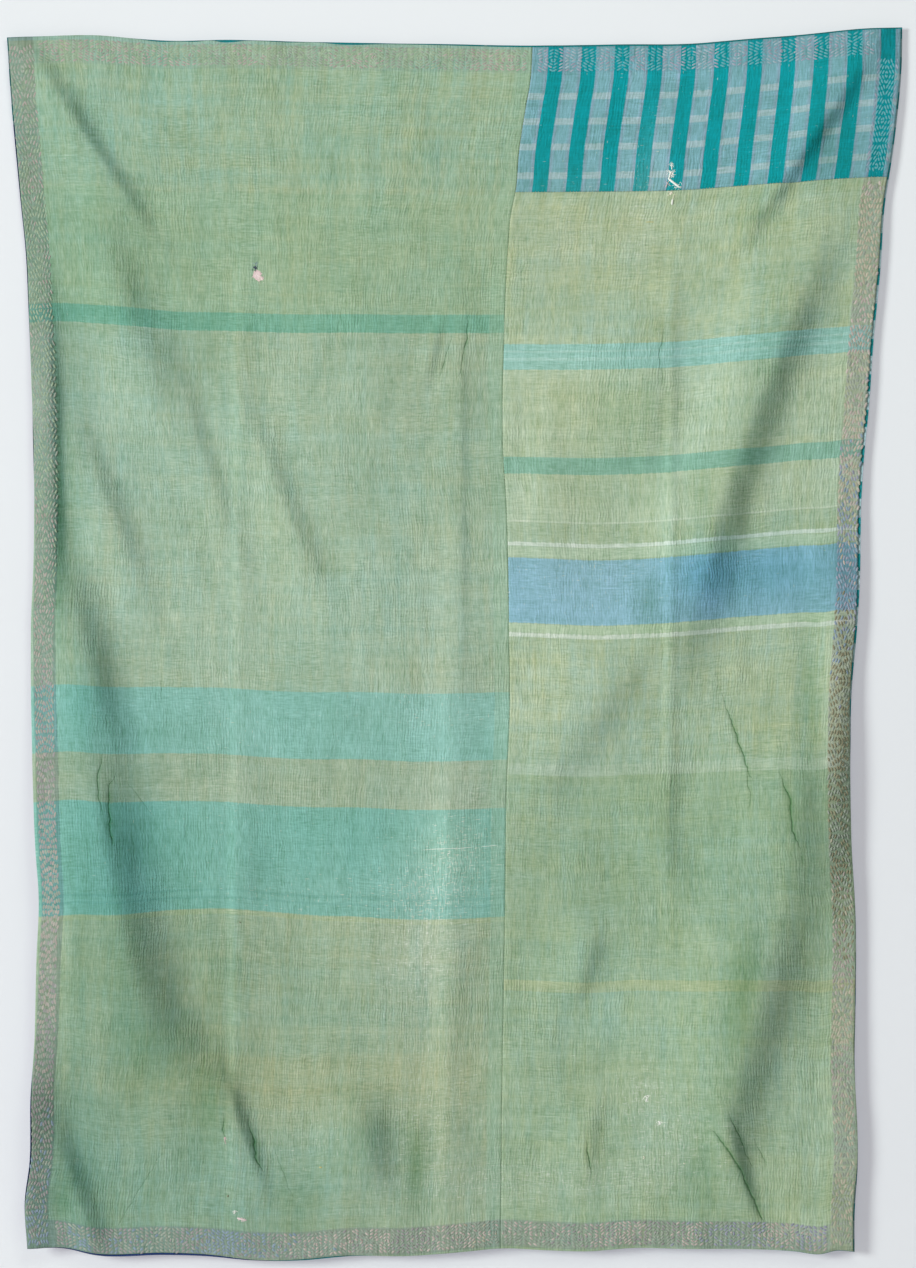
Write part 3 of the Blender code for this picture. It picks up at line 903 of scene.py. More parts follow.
# Where embroidery covers the cloth: start, end (shares), and what its colour is multiplied by, darker
# partly as painted shade between the embroidery's stitches and partly for wear and the threads' tint.
LEFT_SIDE_BAND = (0.0005, 0.0285, (0.74, 0.72, 0.80))
TOP_BAND = (0.0020, 0.0228, (0.96, 0.95, 1.00))
BOTTOM_BAND = (0.9772, 0.9995, (0.84, 0.79, 0.92))


def left_material():
    """Sage green that goes tealer in clouds, with the teal bands and the pale selvage."""
    cloth = Cotton("sage_green_cloth")
    ground = blend(cloth.tree, cloth.cast, (*SAGE, 1), (*SAGE_TEAL, 1))
    striped = cloth.bands(ground, LEFT_STRIPES, cloth.v, DROP)
    striped = cloth.bands(striped, LEFT_SELVAGE, cloth.u, WIDTH)
    colour = cloth.under_embroidery(striped, LEFT_SIDE_BAND, (TOP_BAND, BOTTOM_BAND))
    return cloth.finish(colour, creased=cloth.creased())


left_cotton = left_material()
left_panel = lay_cloth(
    "left_panel_draped",
    grid_lines(RIM, SEAM - SEAM_GAP, WIDTH, PANEL_CELL[0]),
    grid_lines(RIM, 1 - RIM, DROP, PANEL_CELL[1]),
    "left_panel",
    left_cotton,
)


# ---- Right panel ----------------------------------------------------------------------------------
# An olive-green handloom cotton, cut short to meet the patch above it. Woven across it are two teal
# stripes and a broad blue band between white lines.

OLIVE = (0.364, 0.434, 0.262)
OLIVE_TEAL = (0.302, 0.434, 0.340)
OLIVE_DEEP = (0.205, 0.335, 0.195)
RIGHT_STRIPES = (
    (0.2487, 0.2700, (0.245, 0.475, 0.435), 0.85),
    (0.2540, 0.2556, (0.460, 0.620, 0.570), 0.25),
    (0.2600, 0.2625, (0.440, 0.610, 0.560), 0.25),
    (0.2700, 0.3950, (0.440, 0.540, 0.405), 0.35),
    (0.3424, 0.3563, (0.195, 0.395, 0.310), 0.85),
    (0.3950, 0.3964, (0.480, 0.560, 0.440), 0.8),
    (0.4130, 0.4162, (0.540, 0.620, 0.540), 0.85),
    (0.4170, 0.4250, (0.400, 0.510, 0.370), 0.7),
    (0.4262, 0.4805, (0.215, 0.405, 0.490), 0.95),
    (0.4812, 0.4880, (0.400, 0.520, 0.370), 0.7),
    (0.4884, 0.4920, (0.530, 0.610, 0.530), 0.80),
    (0.5975, 0.6070, (0.400, 0.500, 0.390), 0.45),
    (0.6070, 1.0100, OLIVE_DEEP, 0.30),
    (0.7780, 0.7870, (0.420, 0.440, 0.230), 0.40),
)
# darkened under the side embroidery: partly painted shade between its stitches, partly wear and the
# threads' tint
RIGHT_SIDE_BAND = (0.9722, 0.9995, (0.88, 0.80, 0.85))


def right_material():
    """Olive green that goes tealer in clouds, with the stripes and the blue band."""
    cloth = Cotton("olive_green_cloth")
    ground = blend(cloth.tree, cloth.cast, (*OLIVE, 1), (*OLIVE_TEAL, 1))
    striped = cloth.bands(ground, RIGHT_STRIPES, cloth.v, DROP)
    colour = cloth.under_embroidery(striped, RIGHT_SIDE_BAND, (BOTTOM_BAND,))
    return cloth.finish(colour, creased=cloth.creased())


right_cotton = right_material()
right_panel = lay_cloth(
    "right_panel_draped",
    grid_lines(SEAM + SEAM_GAP, 1 - RIM, WIDTH, PANEL_CELL[0]),
    grid_lines(PATCH_FOOT + SEAM_GAP, 1 - RIM, DROP, PANEL_CELL[1]),
    "right_panel",
    right_cotton,
)


# ---- Striped patch --------------------------------------------------------------------------------
# A strip of teal and blue-grey striped cotton set in above the right panel, its stripes running
# down. Whitish weft bars cross the grey, and barely show on the teal.

PATCH_TEAL = (0.000, 0.262, 0.290)
PATCH_GREY = (0.172, 0.358, 0.402)
PATCH_LILAC = (0.205, 0.318, 0.392)
PATCH_WHITE = (0.430, 0.500, 0.500)
PATCH_BARS = (0.0424, 0.0634, 0.0845, 0.1084)  # middles, as shares of the drop
HALF_BAR = 0.0028
# darkened under the patch's embroidery: partly painted shade between its stitches, partly the threads'
# tint
PATCH_SIDE_BAND = (0.9722, 0.9995, (0.80, 0.84, 0.86))
PATCH_TOP_BAND = (0.0020, 0.0228, (0.92, 0.90, 0.92))
# Teal stripes: where the first starts, from one to the next, and how much of that is teal.
TEAL_START = 0.6058
TEAL_PITCH = 0.0371
TEAL_SHARE = 0.45
TEAL_SOFT = 0.015


def patch_material():
    """Teal and blue-grey stripes down the cloth, with whitish bars across the grey."""
    cloth = Cotton("teal_and_grey_stripe")
    tree = cloth.tree
    ragged = calc(tree, "MULTIPLY_ADD", cloth.yarn.outputs["Streak"], RAGGED / 2, cloth.u)
    turns = calc(tree, "SUBTRACT", calc(tree, "DIVIDE", ragged, WIDTH), TEAL_START - TEAL_PITCH)
    into = calc(tree, "FRACT", calc(tree, "DIVIDE", turns, TEAL_PITCH))
    teal = ramp(tree, into, TEAL_SHARE + TEAL_SOFT, TEAL_SHARE - TEAL_SOFT)
    middle = calc(tree, "ABSOLUTE", calc(tree, "SUBTRACT", into, (1 + TEAL_SHARE) / 2))
    grey = blend(tree, ramp(tree, middle, 0.14, 0.26), (*PATCH_GREY, 1), (*PATCH_LILAC, 1))
    bars = tuple((bar - HALF_BAR, bar + HALF_BAR, PATCH_WHITE, 0.45) for bar in PATCH_BARS)
    grey = cloth.bands(grey, bars, cloth.v, DROP)
    colour = blend(tree, teal, grey, (*PATCH_TEAL, 1))
    return cloth.finish(cloth.under_embroidery(colour, PATCH_SIDE_BAND, (PATCH_TOP_BAND,)))


patch_cotton = patch_material()
patch = lay_cloth(
    "striped_patch_draped",
    grid_lines(SEAM + SEAM_GAP, 1 - RIM, WIDTH, PATCH_CELL[0]),
    grid_lines(RIM, PATCH_FOOT - SEAM_GAP, DROP, PATCH_CELL[1]),
    "striped_patch",
    patch_cotton,
)


# ---- Field stitching ------------------------------------------------------------------------------
# Rows of running stitch in pale cotton thread, sewn by hand down the quilt through every cloth. The
# rows waver, neighbouring stitches fall in step, and the cloth ripples between them.

STITCH_LENGTH = 0.0046
STITCH_WIDTH = 0.0011
STITCH_HEIGHT = 0.0002
SHOULDER = 0.28  # share of a full stitch over which each end rises
SKIPPED = 0.04  # share of the stitches that are missing
SUNK = 0.00005  # how far a thread's edges sink into the cloth
FIELD_SIDE = 0.044 / WIDTH  # where the rows stop and the border's embroidery starts
FIELD_HEAD = 0.0235
FIELD_FOOT = 0.977


def thread_material(name):
    """Soft cotton thread that takes each stitch's own colour."""
    material = bpy.data.materials.new(name)
    material.use_nodes = True
    shader = material.node_tree.nodes["Principled BSDF"]
    shader.inputs["Roughness"].default_value = 0.85
    shader.inputs["Specular IOR Level"].default_value = 0.25
    shader.inputs["Sheen Weight"].default_value = 0.05
    own = add_node(material.node_tree, "ShaderNodeAttribute", attribute_name="thread")
    material.node_tree.links.new(own.outputs["Color"], shader.inputs["Base Color"])
    return material


thread = thread_material("cotton_thread")

# Triangles of one stitch. Points 0 and 1 are its ends, and the last one or two are its ridge.
SLIM = ((0, 2, 4), (2, 1, 4), (1, 3, 4), (3, 0, 4))
FULL = (
    (0, 2, 6), (2, 3, 7), (2, 7, 6), (3, 1, 7), (1, 4, 7), (4, 5, 6), (4, 6, 7), (5, 0, 6),
)


def on_front(spots):
    """Places on the map of the whole front, of points given as shares."""
    return spots * (1, -1) + (0, 1)


def set_colours(mesh, colours):
    """Gives each point of a thread its colour."""
    set_values(mesh, "thread", np.c_[colours, np.ones(len(colours))], "FLOAT_COLOR")


def lay_stitches(name, heads, feet, width, height, material, colours=None):
    """Stitches as low ridges on the front, each from its head to its foot, in shares.

    Without colours of their own they are slim and take the cloth's; with colours they are fuller.
    """
    run = (feet - heads) * (WIDTH, DROP)
    run /= np.linalg.norm(run, axis=1, keepdims=True)
    half = np.broadcast_to(np.asarray(width) / 2, len(heads))[:, None]
    aside = np.stack([-run[:, 1], run[:, 0]], axis=1) * half / (WIDTH, DROP)
    upper = heads + (feet - heads) * SHOULDER
    lower = heads + (feet - heads) * (1 - SHOULDER)
    middles = (heads + feet) / 2
    if colours is None:
        spots = np.stack([heads, feet, middles + aside, middles - aside, middles], axis=1)
        corners = SLIM
        ridges = 1
    else:
        sides = [upper + aside, lower + aside, lower - aside, upper - aside]
        spots = np.stack([heads, feet, *sides, upper, lower], axis=1)
        corners = FULL
        ridges = 2
    each = spots.shape[1]
    lifts = np.full(spots.shape[:2], FRONT_LIFT - SUNK)
    lifts[:, -ridges:] = FRONT_LIFT + np.reshape(height, (-1, 1))
    points = drape(spots[..., 0], spots[..., 1], lifts)
    first = each * np.arange(len(heads))[:, None, None]
    faces = (first + [corners]).reshape(-1, 3).tolist()
    piece = add_piece(name, points, faces, on_front(spots), material)
    if colours is None:
        mark_weave(piece.data, spots[..., 0], spots[..., 1])
        mark_wear_and_shade(piece.data, spots[..., 0], spots[..., 1])
        sewn = np.random.default_rng(len(heads)).normal(1.0, 0.7, len(heads))
        set_values(piece.data, "sewn", np.repeat(sewn, each))
    else:
        set_colours(piece.data, np.repeat(colours, each, axis=0))
    return piece


def sew_rows(name, across_span, down_span, seed, cotton):
    """All the running stitches in the rows of one rectangle, in the colours of its cloth."""
    rng = np.random.default_rng(seed)
    first, last = (int(np.ceil(share * WIDTH / ROW_PITCH)) for share in across_span)
    rows = np.arange(first, last)[:, None]
    start = np.ceil(down_span[0] * DROP / STITCH_PITCH)
    count = int(down_span[1] * DROP / STITCH_PITCH - start) - 1
    shift = 0.5 * (rows % 2) + 0.15 * rng.standard_normal(rows.shape) + start + 0.5
    turn = np.arange(count)[None, :] + shift + 0.08 * rng.standard_normal((len(rows), count))
    middle = turn * STITCH_PITCH / DROP
    half = STITCH_LENGTH / 2 * (1 + 0.14 * rng.standard_normal(middle.shape)) / DROP
    ends = []
    for down in (middle - half, middle + half):
        place = np.broadcast_to(rows * ROW_PITCH / WIDTH, down.shape)
        u, v = weave_place(place, down)
        ends.append(np.stack([(u + row_wobble(u, v)) / WIDTH, down], axis=-1).reshape(-1, 2))
    kept = rng.random(len(ends[0])) > SKIPPED
    heads, feet = ends[0][kept], ends[1][kept]
    return lay_stitches(name, heads, feet, STITCH_WIDTH, STITCH_HEIGHT, cotton)


left_stitches = sew_rows(
    "left_running_stitches", (FIELD_SIDE, SEAM - 0.002), (FIELD_HEAD, FIELD_FOOT), 21,
    left_cotton,
)
right_column = (SEAM + 0.002, 1 - FIELD_SIDE)
right_stitches = sew_rows(
    "right_running_stitches", right_column, (PATCH_FOOT + 0.001, FIELD_FOOT), 22,
    right_cotton,
)
patch_stitches = sew_rows(
    "patch_running_stitches", right_column, (FIELD_HEAD, PATCH_FOOT - 0.001), 23,
    patch_cotton,
)


# ---- Border embroidery ----------------------------------------------------------------------------
# A band of running stitch along each side of the quilt, in lines that make chains of nested diamonds
# with zigzags between them, in pinkish white, grey and brown threads.

LINE_STEP = 0.27  # between one line and the next, as a share of the half diamond
EMBROIDERY_STITCH = 0.0092
EMBROIDERY_GAP = 0.0011
THREADS = {
    "pink": (0.360, 0.325, 0.295),
    "rose": (0.430, 0.375, 0.345),
    "mauve": (0.300, 0.285, 0.285),
    "grey": (0.290, 0.325, 0.275),
    "sage": (0.290, 0.365, 0.262),
    "beige": (0.405, 0.375, 0.295),
    "brown": (0.240, 0.225, 0.150),
    "bluish": (0.225, 0.290, 0.365),
    "lilac": (0.290, 0.300, 0.375),
    "frost": (0.290, 0.375, 0.425),
    "aqua": (0.120, 0.355, 0.400),
    "white": (0.540, 0.540, 0.480),
    "dark": (0.060, 0.075, 0.110),
    "gold": (0.480, 0.430, 0.180),
}
# Places along each band: share, how far in from the quilt's side it reaches, a stitch's width and
# height, and its threads.
LEFT_LOOKS = (
    (0.00, 0.043, 0.0032, 0.0009, ("grey", "pink", "grey")),
    (0.14, 0.044, 0.0030, 0.0014, ("sage", "grey", "pink")),
    (0.32, 0.044, 0.0030, 0.0016, ("sage", "grey", "sage")),
    (0.48, 0.039, 0.0032, 0.0016, ("pink", "grey", "grey")),
    (0.60, 0.036, 0.0036, 0.0009, ("grey", "mauve", "pink")),
    (0.76, 0.034, 0.0040, 0.0006, ("mauve", "pink", "grey")),
    (0.88, 0.040, 0.0040, 0.0008, ("mauve", "grey", "mauve")),
    (1.00, 0.040, 0.0036, 0.0010, ("grey", "bluish", "mauve")),
)
TOP_LOOKS = (
    (0.0, 0.043, 0.0030, 0.0007, ("grey", "pink", "sage")),
    (0.5, 0.041, 0.0028, 0.0008, ("pink", "sage", "grey")),
    (1.0, 0.043, 0.0030, 0.0009, ("pink", "grey", "sage")),
)
BOTTOM_LOOKS = (
    (0.0, 0.046, 0.0036, 0.0008, ("mauve", "grey", "bluish")),
    (0.3, 0.046, 0.0036, 0.0009, ("bluish", "mauve", "grey")),
    (0.7, 0.044, 0.0034, 0.0013, ("mauve", "grey", "rose")),
    (1.0, 0.046, 0.0032, 0.0014, ("rose", "grey", "beige")),
)
BOTTOM_RIGHT_LOOKS = (
    (0.0, 0.044, 0.0034, 0.0012, ("grey", "rose", "grey")),
    (0.4, 0.044, 0.0032, 0.0014, ("rose", "mauve", "grey")),
    (0.8, 0.046, 0.0032, 0.0014, ("rose", "lilac", "grey")),
    (1.0, 0.046, 0.0034, 0.0010, ("grey", "lilac", "rose")),
)
RIGHT_LOOKS = (
    (0.00, 0.041, 0.0038, 0.0009, ("beige", "grey", "rose")),
    (0.24, 0.041, 0.0038, 0.0009, ("beige", "rose", "grey")),
    (0.36, 0.041, 0.0034, 0.0010, ("bluish", "lilac", "bluish")),
    (0.48, 0.041, 0.0032, 0.0015, ("brown", "grey", "brown")),
    (0.62, 0.041, 0.0032, 0.0016, ("brown", "grey", "brown")),
    (0.76, 0.041, 0.0038, 0.0009, ("beige", "grey", "pink")),
    (1.00, 0.041, 0.0036, 0.0009, ("grey", "beige", "grey")),
)
PATCH_TOP_LOOKS = ((0.0, 0.044, 0.0028, 0.0008, ("frost", "lilac", "frost")),)
PATCH_SIDE_LOOKS = ((0.0, 0.041, 0.0026, 0.0007, ("bluish", "lilac", "bluish")),)


def diamond_stitches(length, half_long, half_wide, seed):
    """Heads and feet of a chain of nested diamonds: metres along it, and across it from -1 to 1."""
    rng = np.random.default_rng(seed)
    whole = EMBROIDERY_STITCH + EMBROIDERY_GAP
    half = 0.5 * EMBROIDERY_STITCH / whole
    ends = []
    for middle in np.arange(rng.uniform(0, half_long), length + half_long, 2 * half_long):
        for level in np.arange(LINE_STEP / 2, 2.0, LINE_STEP):
            low = max(level - 1, 0)
            high = min(level, 1)
            reach = (high - low) * np.hypot(half_long, half_wide)
            count = max(1, round(reach / whole))
            for long_side, wide_side in ((1, 1), (1, -1), (-1, 1), (-1, -1)):
                turns = np.arange(count) + 0.5 + 0.1 * rng.standard_normal(count)
                for shares in ((turns - half) / count, (turns + half) / count):
                    place = high - (high - low) * shares
                    away = low + (high - low) * shares
                    ends.append(np.stack([middle + long_side * half_long * place, wide_side * away], 1))
    heads = np.concatenate(ends[::2])
    feet = np.concatenate(ends[1::2])
    inside = (np.minimum(heads, feet)[:, 0] > 0) & (np.maximum(heads, feet)[:, 0] < length)
    return heads[inside], feet[inside]


def embroider(name, side, start, end, outer, diamond, looks, body_slot, seed):
    """A band along one side of the quilt, from its outer edge (metres in from the side) inwards."""
    rng = np.random.default_rng(seed)
    size = DROP if side in ("left", "right") else WIDTH
    places = [look[0] for look in looks]
    half_wide = (np.mean([look[1] for look in looks]) - outer) / 2
    length = (end - start) * size
    shares = []
    for ends in diamond_stitches(length, diamond / 2, half_wide, seed):
        inner = np.interp(ends[:, 0] / length, places, [look[1] for look in looks])
        inward = outer + (inner - outer) * (ends[:, 1] + 1) / 2
        inward = inward + 0.0008 * crinkle(ends[:, 0], inward, 0.016, 0.012, seed)
        along_side = start + ends[:, 0] / size
        shares.append({
            "left": np.stack([inward / WIDTH, along_side], axis=1),
            "right": np.stack([1 - inward / WIDTH, along_side], axis=1),
            "top": np.stack([along_side, inward / DROP], axis=1),
            "bottom": np.stack([along_side, 1 - inward / DROP], axis=1),
        }[side])
    heads, feet = shares
    at = ((heads[:, 1] if size == DROP else heads[:, 0]) - start) / (end - start)
    width, height = (np.interp(at, places, [look[i] for look in looks]) for i in (2, 3))
    look = np.abs((at + 0.04 * rng.standard_normal(len(at)))[:, None] - places).argmin(axis=1)
    drift = crinkle(heads[:, 0] * WIDTH, heads[:, 1] * DROP, 0.05, 0.05, seed) * 0.5 + 0.5
    pick = np.clip(3 * (drift + 0.2 * rng.standard_normal(len(at))), 0, 2).astype(int)
    tints = np.array([[THREADS[choice] for choice in look[4]] for look in looks])
    tints = tints[look, pick] * (1 + 0.07 * rng.standard_normal((len(at), 1)))
    if body_slot == "teal_and_grey_stripe":
        stripe = ((heads[:, 0] - TEAL_START) / TEAL_PITCH) % 1.0
        tints[stripe < TEAL_SHARE] = THREADS["aqua"]
    name += "_border_embroidery"
    return lay_stitches(name, heads, feet, width, height, thread, np.clip(tints, 0, 1))


FIRST_SEED = 41  # of the first band; each later band takes the next
LEFT_COLUMN_BAND = (0.032, SEAM - 0.001)
RIGHT_COLUMN_BAND = (SEAM + 0.001, 0.970)
BORDERS = (
    # name, side, start and end (shares), outer edge and a diamond's length (metres), looks, slot
    ("left", "left", 0.003, 0.998, 0.002, 0.100, LEFT_LOOKS, "sage_green_cloth"),
    ("top", "top", *LEFT_COLUMN_BAND, 0.006, 0.076, TOP_LOOKS, "sage_green_cloth"),
    ("bottom", "bottom", *LEFT_COLUMN_BAND, 0.004, 0.066, BOTTOM_LOOKS, "sage_green_cloth"),
    (
        "bottom_right", "bottom", *RIGHT_COLUMN_BAND, 0.004, 0.066, BOTTOM_RIGHT_LOOKS,
        "olive_green_cloth",
    ),
    ("right", "right", PATCH_FOOT + 0.002, 0.998, 0.004, 0.100, RIGHT_LOOKS, "olive_green_cloth"),
    (
        "patch_top", "top", *RIGHT_COLUMN_BAND, 0.005, 0.076, PATCH_TOP_LOOKS,
        "teal_and_grey_stripe",
    ),
    (
        "patch_side", "right", 0.024, PATCH_FOOT - 0.002, 0.005, 0.076, PATCH_SIDE_LOOKS,
        "teal_and_grey_stripe",
    ),
)
borders = {
    border[0]: embroider(*border, seed=FIRST_SEED + place) for place, border in enumerate(BORDERS)
}


# ---- Seam -----------------------------------------------------------------------------------------
# The left panel's edge is turned under and slip-stitched down over the right-hand pieces, and the
# patch's foot is sewn over the right panel in the same way, with small slanting stitches.

SEAM_STITCH = 0.0052  # from one stitch to the next
rng = np.random.default_rng(61)
down_seam = np.arange(0.006, 0.994, SEAM_STITCH / DROP)
along_foot = np.arange(SEAM + 0.004, 0.994, SEAM_STITCH / WIDTH)
seams = (
    # places along the seam and across it, and how far a stitch runs
    (np.full_like(down_seam, SEAM - 0.0011), down_seam, (0.0017, 0.0008)),
    (along_foot, np.full_like(along_foot, PATCH_FOOT - 0.0008), (0.0010, 0.0013)),
)
heads = np.concatenate([np.stack([across, down], axis=1) for across, down, _ in seams])
feet = heads + np.concatenate([np.tile(run, (len(across), 1)) for across, _, run in seams])
heads = heads + 0.0002 * rng.standard_normal(heads.shape)
shades = np.array(THREADS["sage"]) * (0.85 + 0.15 * rng.standard_normal((len(heads), 1)))
seam_stitches = lay_stitches(
    "seam_stitches", heads, feet, 0.0009, 0.0004, thread, np.clip(shades, 0, 1)
)


# ---- Worn places ----------------------------------------------------------------------------------
# A hole rubbed through the left panel, where the pale layer below shows; a tear in the patch with
# its white threads hanging out over the seam; and slubs and loose ends of thread over the cloth.

# Round the hole, as shares of the width and the drop.
HOLE = (
    (0.2785, 0.1892), (0.2834, 0.1883), (0.2867, 0.1897), (0.2878, 0.1926), (0.2905, 0.1944),
    (0.2878, 0.1970), (0.2807, 0.1972), (0.2796, 0.1950), (0.2758, 0.1944), (0.2774, 0.1914),
)
HOLE_SPOT = (0.2801, 0.1866)  # a dark tuft just above the hole
SKIN_RINGS = 6
SKIN_POINTS = 40  # in each ring
SKIN_HEIGHT = 0.00025
SKIN_ROUGH = 0.0001


def smooth_path(places, at):
    """Points of a smooth line through the places, at these shares of the way."""
    turn = np.linspace(0, 1, len(places))
    return np.stack([along(np.c_[turn, column], at) for column in np.transpose(places)], axis=1)


def lay_worn_skin(name, rim, inner, outer, seed):
    """A ragged little skin on the front: its rim in shares, its colours from middle to rim."""
    rng = np.random.default_rng(seed)
    ring = smooth_path([*rim, rim[0]], np.arange(SKIN_POINTS) / SKIN_POINTS)
    middle = ring.mean(axis=0)
    shares = np.linspace(0, 1, SKIN_RINGS + 1)[1:]
    spots = middle + (ring - middle)[None] * shares[:, None, None]
    spots[-1] += 0.0006 * rng.standard_normal(spots[-1].shape)
    spots = np.concatenate([[middle], spots.reshape(-1, 2)])
    lifts = FRONT_LIFT + SKIN_HEIGHT + SKIN_ROUGH * rng.standard_normal(len(spots))
    lifts[-SKIN_POINTS:] = FRONT_LIFT - SKIN_ROUGH
    points = drape(spots[:, 0], spots[:, 1], lifts)
    step = np.arange(SKIN_POINTS)
    after = (step + 1) % SKIN_POINTS
    faces = np.stack([0 * step, 1 + after, 1 + step], axis=1).tolist()
    for near in range(1, len(spots) - SKIN_POINTS, SKIN_POINTS):
        far = near + SKIN_POINTS
        faces += np.stack([near + step, near + after, far + after, far + step], axis=1).tolist()
    share = np.r_[0, np.repeat(shares, SKIN_POINTS)][:, None]
    shades = np.array(inner) * (1 - share) + np.array(outer) * share
    shades *= 1 + 0.10 * rng.standard_normal((len(spots), 1))
    piece = add_piece(name, points, faces, on_front(spots), thread)
    set_colours(piece.data, shades)
    return piece


def lay_threads(name, threads):
    """Loose threads on the front, each (places in shares, width in mm, colour), with fine ends."""
    spots = []
    lifts = []
    shades = []
    faces = []
    for places, width, colour in threads:
        count = 4 * (len(places) - 1) + 1
        at = np.linspace(0, 1, count)
        path = smooth_path(places, at)
        run = np.gradient(path * (WIDTH, DROP), axis=0)
        run /= np.linalg.norm(run, axis=1, keepdims=True) + 1e-9
        full = np.sqrt(np.clip(1 - (2 * at - 1) ** 4, 0.04, 1))
        half = (0.0005 * width * full)[:, None]
        aside = np.stack([-run[:, 1], run[:, 0]], axis=1) * half / (WIDTH, DROP)
        low = np.full(count, FRONT_LIFT - SUNK)
        step = np.arange(count - 1)
        for first in sum(len(group) for group in spots) + np.array((0, count)):
            near = first + step
            faces += np.stack([near, near + 1, near + count + 1, near + count], axis=1).tolist()
        spots.append(np.concatenate([path + aside, path, path - aside]))
        lifts.append(np.concatenate([low, FRONT_LIFT + 0.0008 * width * full, low]))
        shades.append(np.tile(colour, (3 * count, 1)))
    spots = np.concatenate(spots)
    points = drape(spots[:, 0], spots[:, 1], np.concatenate(lifts))
    piece = add_piece(name, points, faces, on_front(spots), thread)
    set_colours(piece.data, np.concatenate(shades))
    return piece


def tuft(middle, reach, count, length, width, colour, seed):
    """Short curling fibres about a place: reach, length and width in mm."""
    rng = np.random.default_rng(seed)
    threads = []
    for _ in range(count):
        root = np.array(middle) * (WIDTH, DROP) + 0.001 * np.array(reach) * rng.normal(0, 0.5, 2)
        lean = rng.uniform(0, 2 * np.pi)
        places = [root]
        for _ in range(2):
            lean += rng.normal(0, 0.9)
            step = 0.0005 * length * rng.uniform(0.6, 1.4)
            places.append(places[-1] + step * np.array((np.cos(lean), np.sin(lean))))
        shade = np.clip(np.array(colour) * rng.normal(1.0, 0.10), 0, 0.9)
        threads.append((np.array(places) / (WIDTH, DROP), width * rng.uniform(0.7, 1.3), shade))
    return threads


BRIGHT = (0.80, 0.80, 0.76)
CREAM = (0.74, 0.70, 0.58)
ROSE = (0.62, 0.46, 0.46)
BLUSH = (0.72, 0.60, 0.60)

hole_lining = lay_worn_skin("worn_hole_lining", HOLE, BLUSH, ROSE, 62)
hole_fibres = lay_threads(
    "worn_hole_fibres",
    tuft((0.2830, 0.1930), (9, 8), 26, 4.5, 0.7, BLUSH, 63)
    + tuft((0.2860, 0.1958), (6, 5), 12, 4.0, 0.7, CREAM, 64)
    + tuft(HOLE_SPOT, (3.5, 4), 26, 3.5, 0.9, THREADS["dark"], 65)
    + tuft((0.2812, 0.1840), (3.5, 5), 10, 4.0, 0.7, THREADS["bluish"], 66),
)
left_loose_threads = lay_threads(
    "left_loose_threads",
    [
        (((0.4809, 0.6655), (0.5040, 0.6650), (0.5290, 0.6656), (0.5480, 0.6651)), 0.7, BRIGHT),
        (((0.5560, 0.6654), (0.5767, 0.6652)), 0.7, BRIGHT),
        (((0.5149, 0.6693), (0.5180, 0.6690)), 1.4, BRIGHT),
        (((0.2425, 0.9005), (0.2418, 0.9030), (0.2432, 0.9065)), 1.6, ROSE),
        (((0.2572, 0.9600), (0.2590, 0.9616), (0.2566, 0.9630)), 1.6, BRIGHT),
        (((0.2610, 0.9662), (0.2670, 0.9668), (0.2735, 0.9674)), 3.4, BLUSH),
        (((0.2490, 0.9482), (0.2480, 0.9500)), 2.4, THREADS["brown"]),
        (((0.2500, 0.7236), (0.2516, 0.7244)), 2.0, THREADS["brown"]),
        (((0.3600, 0.9242), (0.3640, 0.9247)), 2.6, THREADS["gold"]),
    ]
    + tuft((0.2425, 0.9018), (2, 3), 8, 3.0, 0.8, ROSE, 67)
    + tuft((0.2672, 0.9668), (6, 3), 14, 4.0, 0.8, BLUSH, 68)
    + tuft((0.2580, 0.9615), (3, 3), 8, 3.0, 0.7, BRIGHT, 69),
)
torn_threads = lay_threads(
    "torn_patch_threads",
    [
        (((0.7556, 0.0980), (0.7568, 0.1018), (0.7576, 0.1050)), 1.6, BRIGHT),
        (((0.7572, 0.1060), (0.7560, 0.1090), (0.7548, 0.1126)), 2.6, BRIGHT),
        (((0.7540, 0.1118), (0.7603, 0.1152), (0.7650, 0.1178), (0.7695, 0.1201)), 3.4, BRIGHT),
        (((0.7556, 0.1139), (0.7539, 0.1167), (0.7533, 0.1198)), 1.5, ROSE),
        (((0.7585, 0.1238), (0.7600, 0.1243), (0.7622, 0.1240)), 2.6, CREAM),
        (((0.7642, 0.1246), (0.7634, 0.1275), (0.7628, 0.1296)), 1.0, CREAM),
        (((0.7628, 0.1290), (0.7632, 0.1315), (0.7636, 0.1342)), 3.0, BRIGHT),
    ]
    + tuft((0.7575, 0.1077), (5, 6), 44, 5.0, 0.8, BRIGHT, 71)
    + tuft((0.7570, 0.1010), (2.5, 5), 14, 4.0, 0.7, BRIGHT, 72)
    + tuft((0.7655, 0.1182), (6, 4), 18, 4.0, 0.6, BRIGHT, 73)
    + tuft((0.7545, 0.1160), (3, 6), 10, 4.0, 0.6, ROSE, 74)
    + tuft((0.7595, 0.1243), (4, 2.5), 14, 3.5, 0.7, CREAM, 75),
)
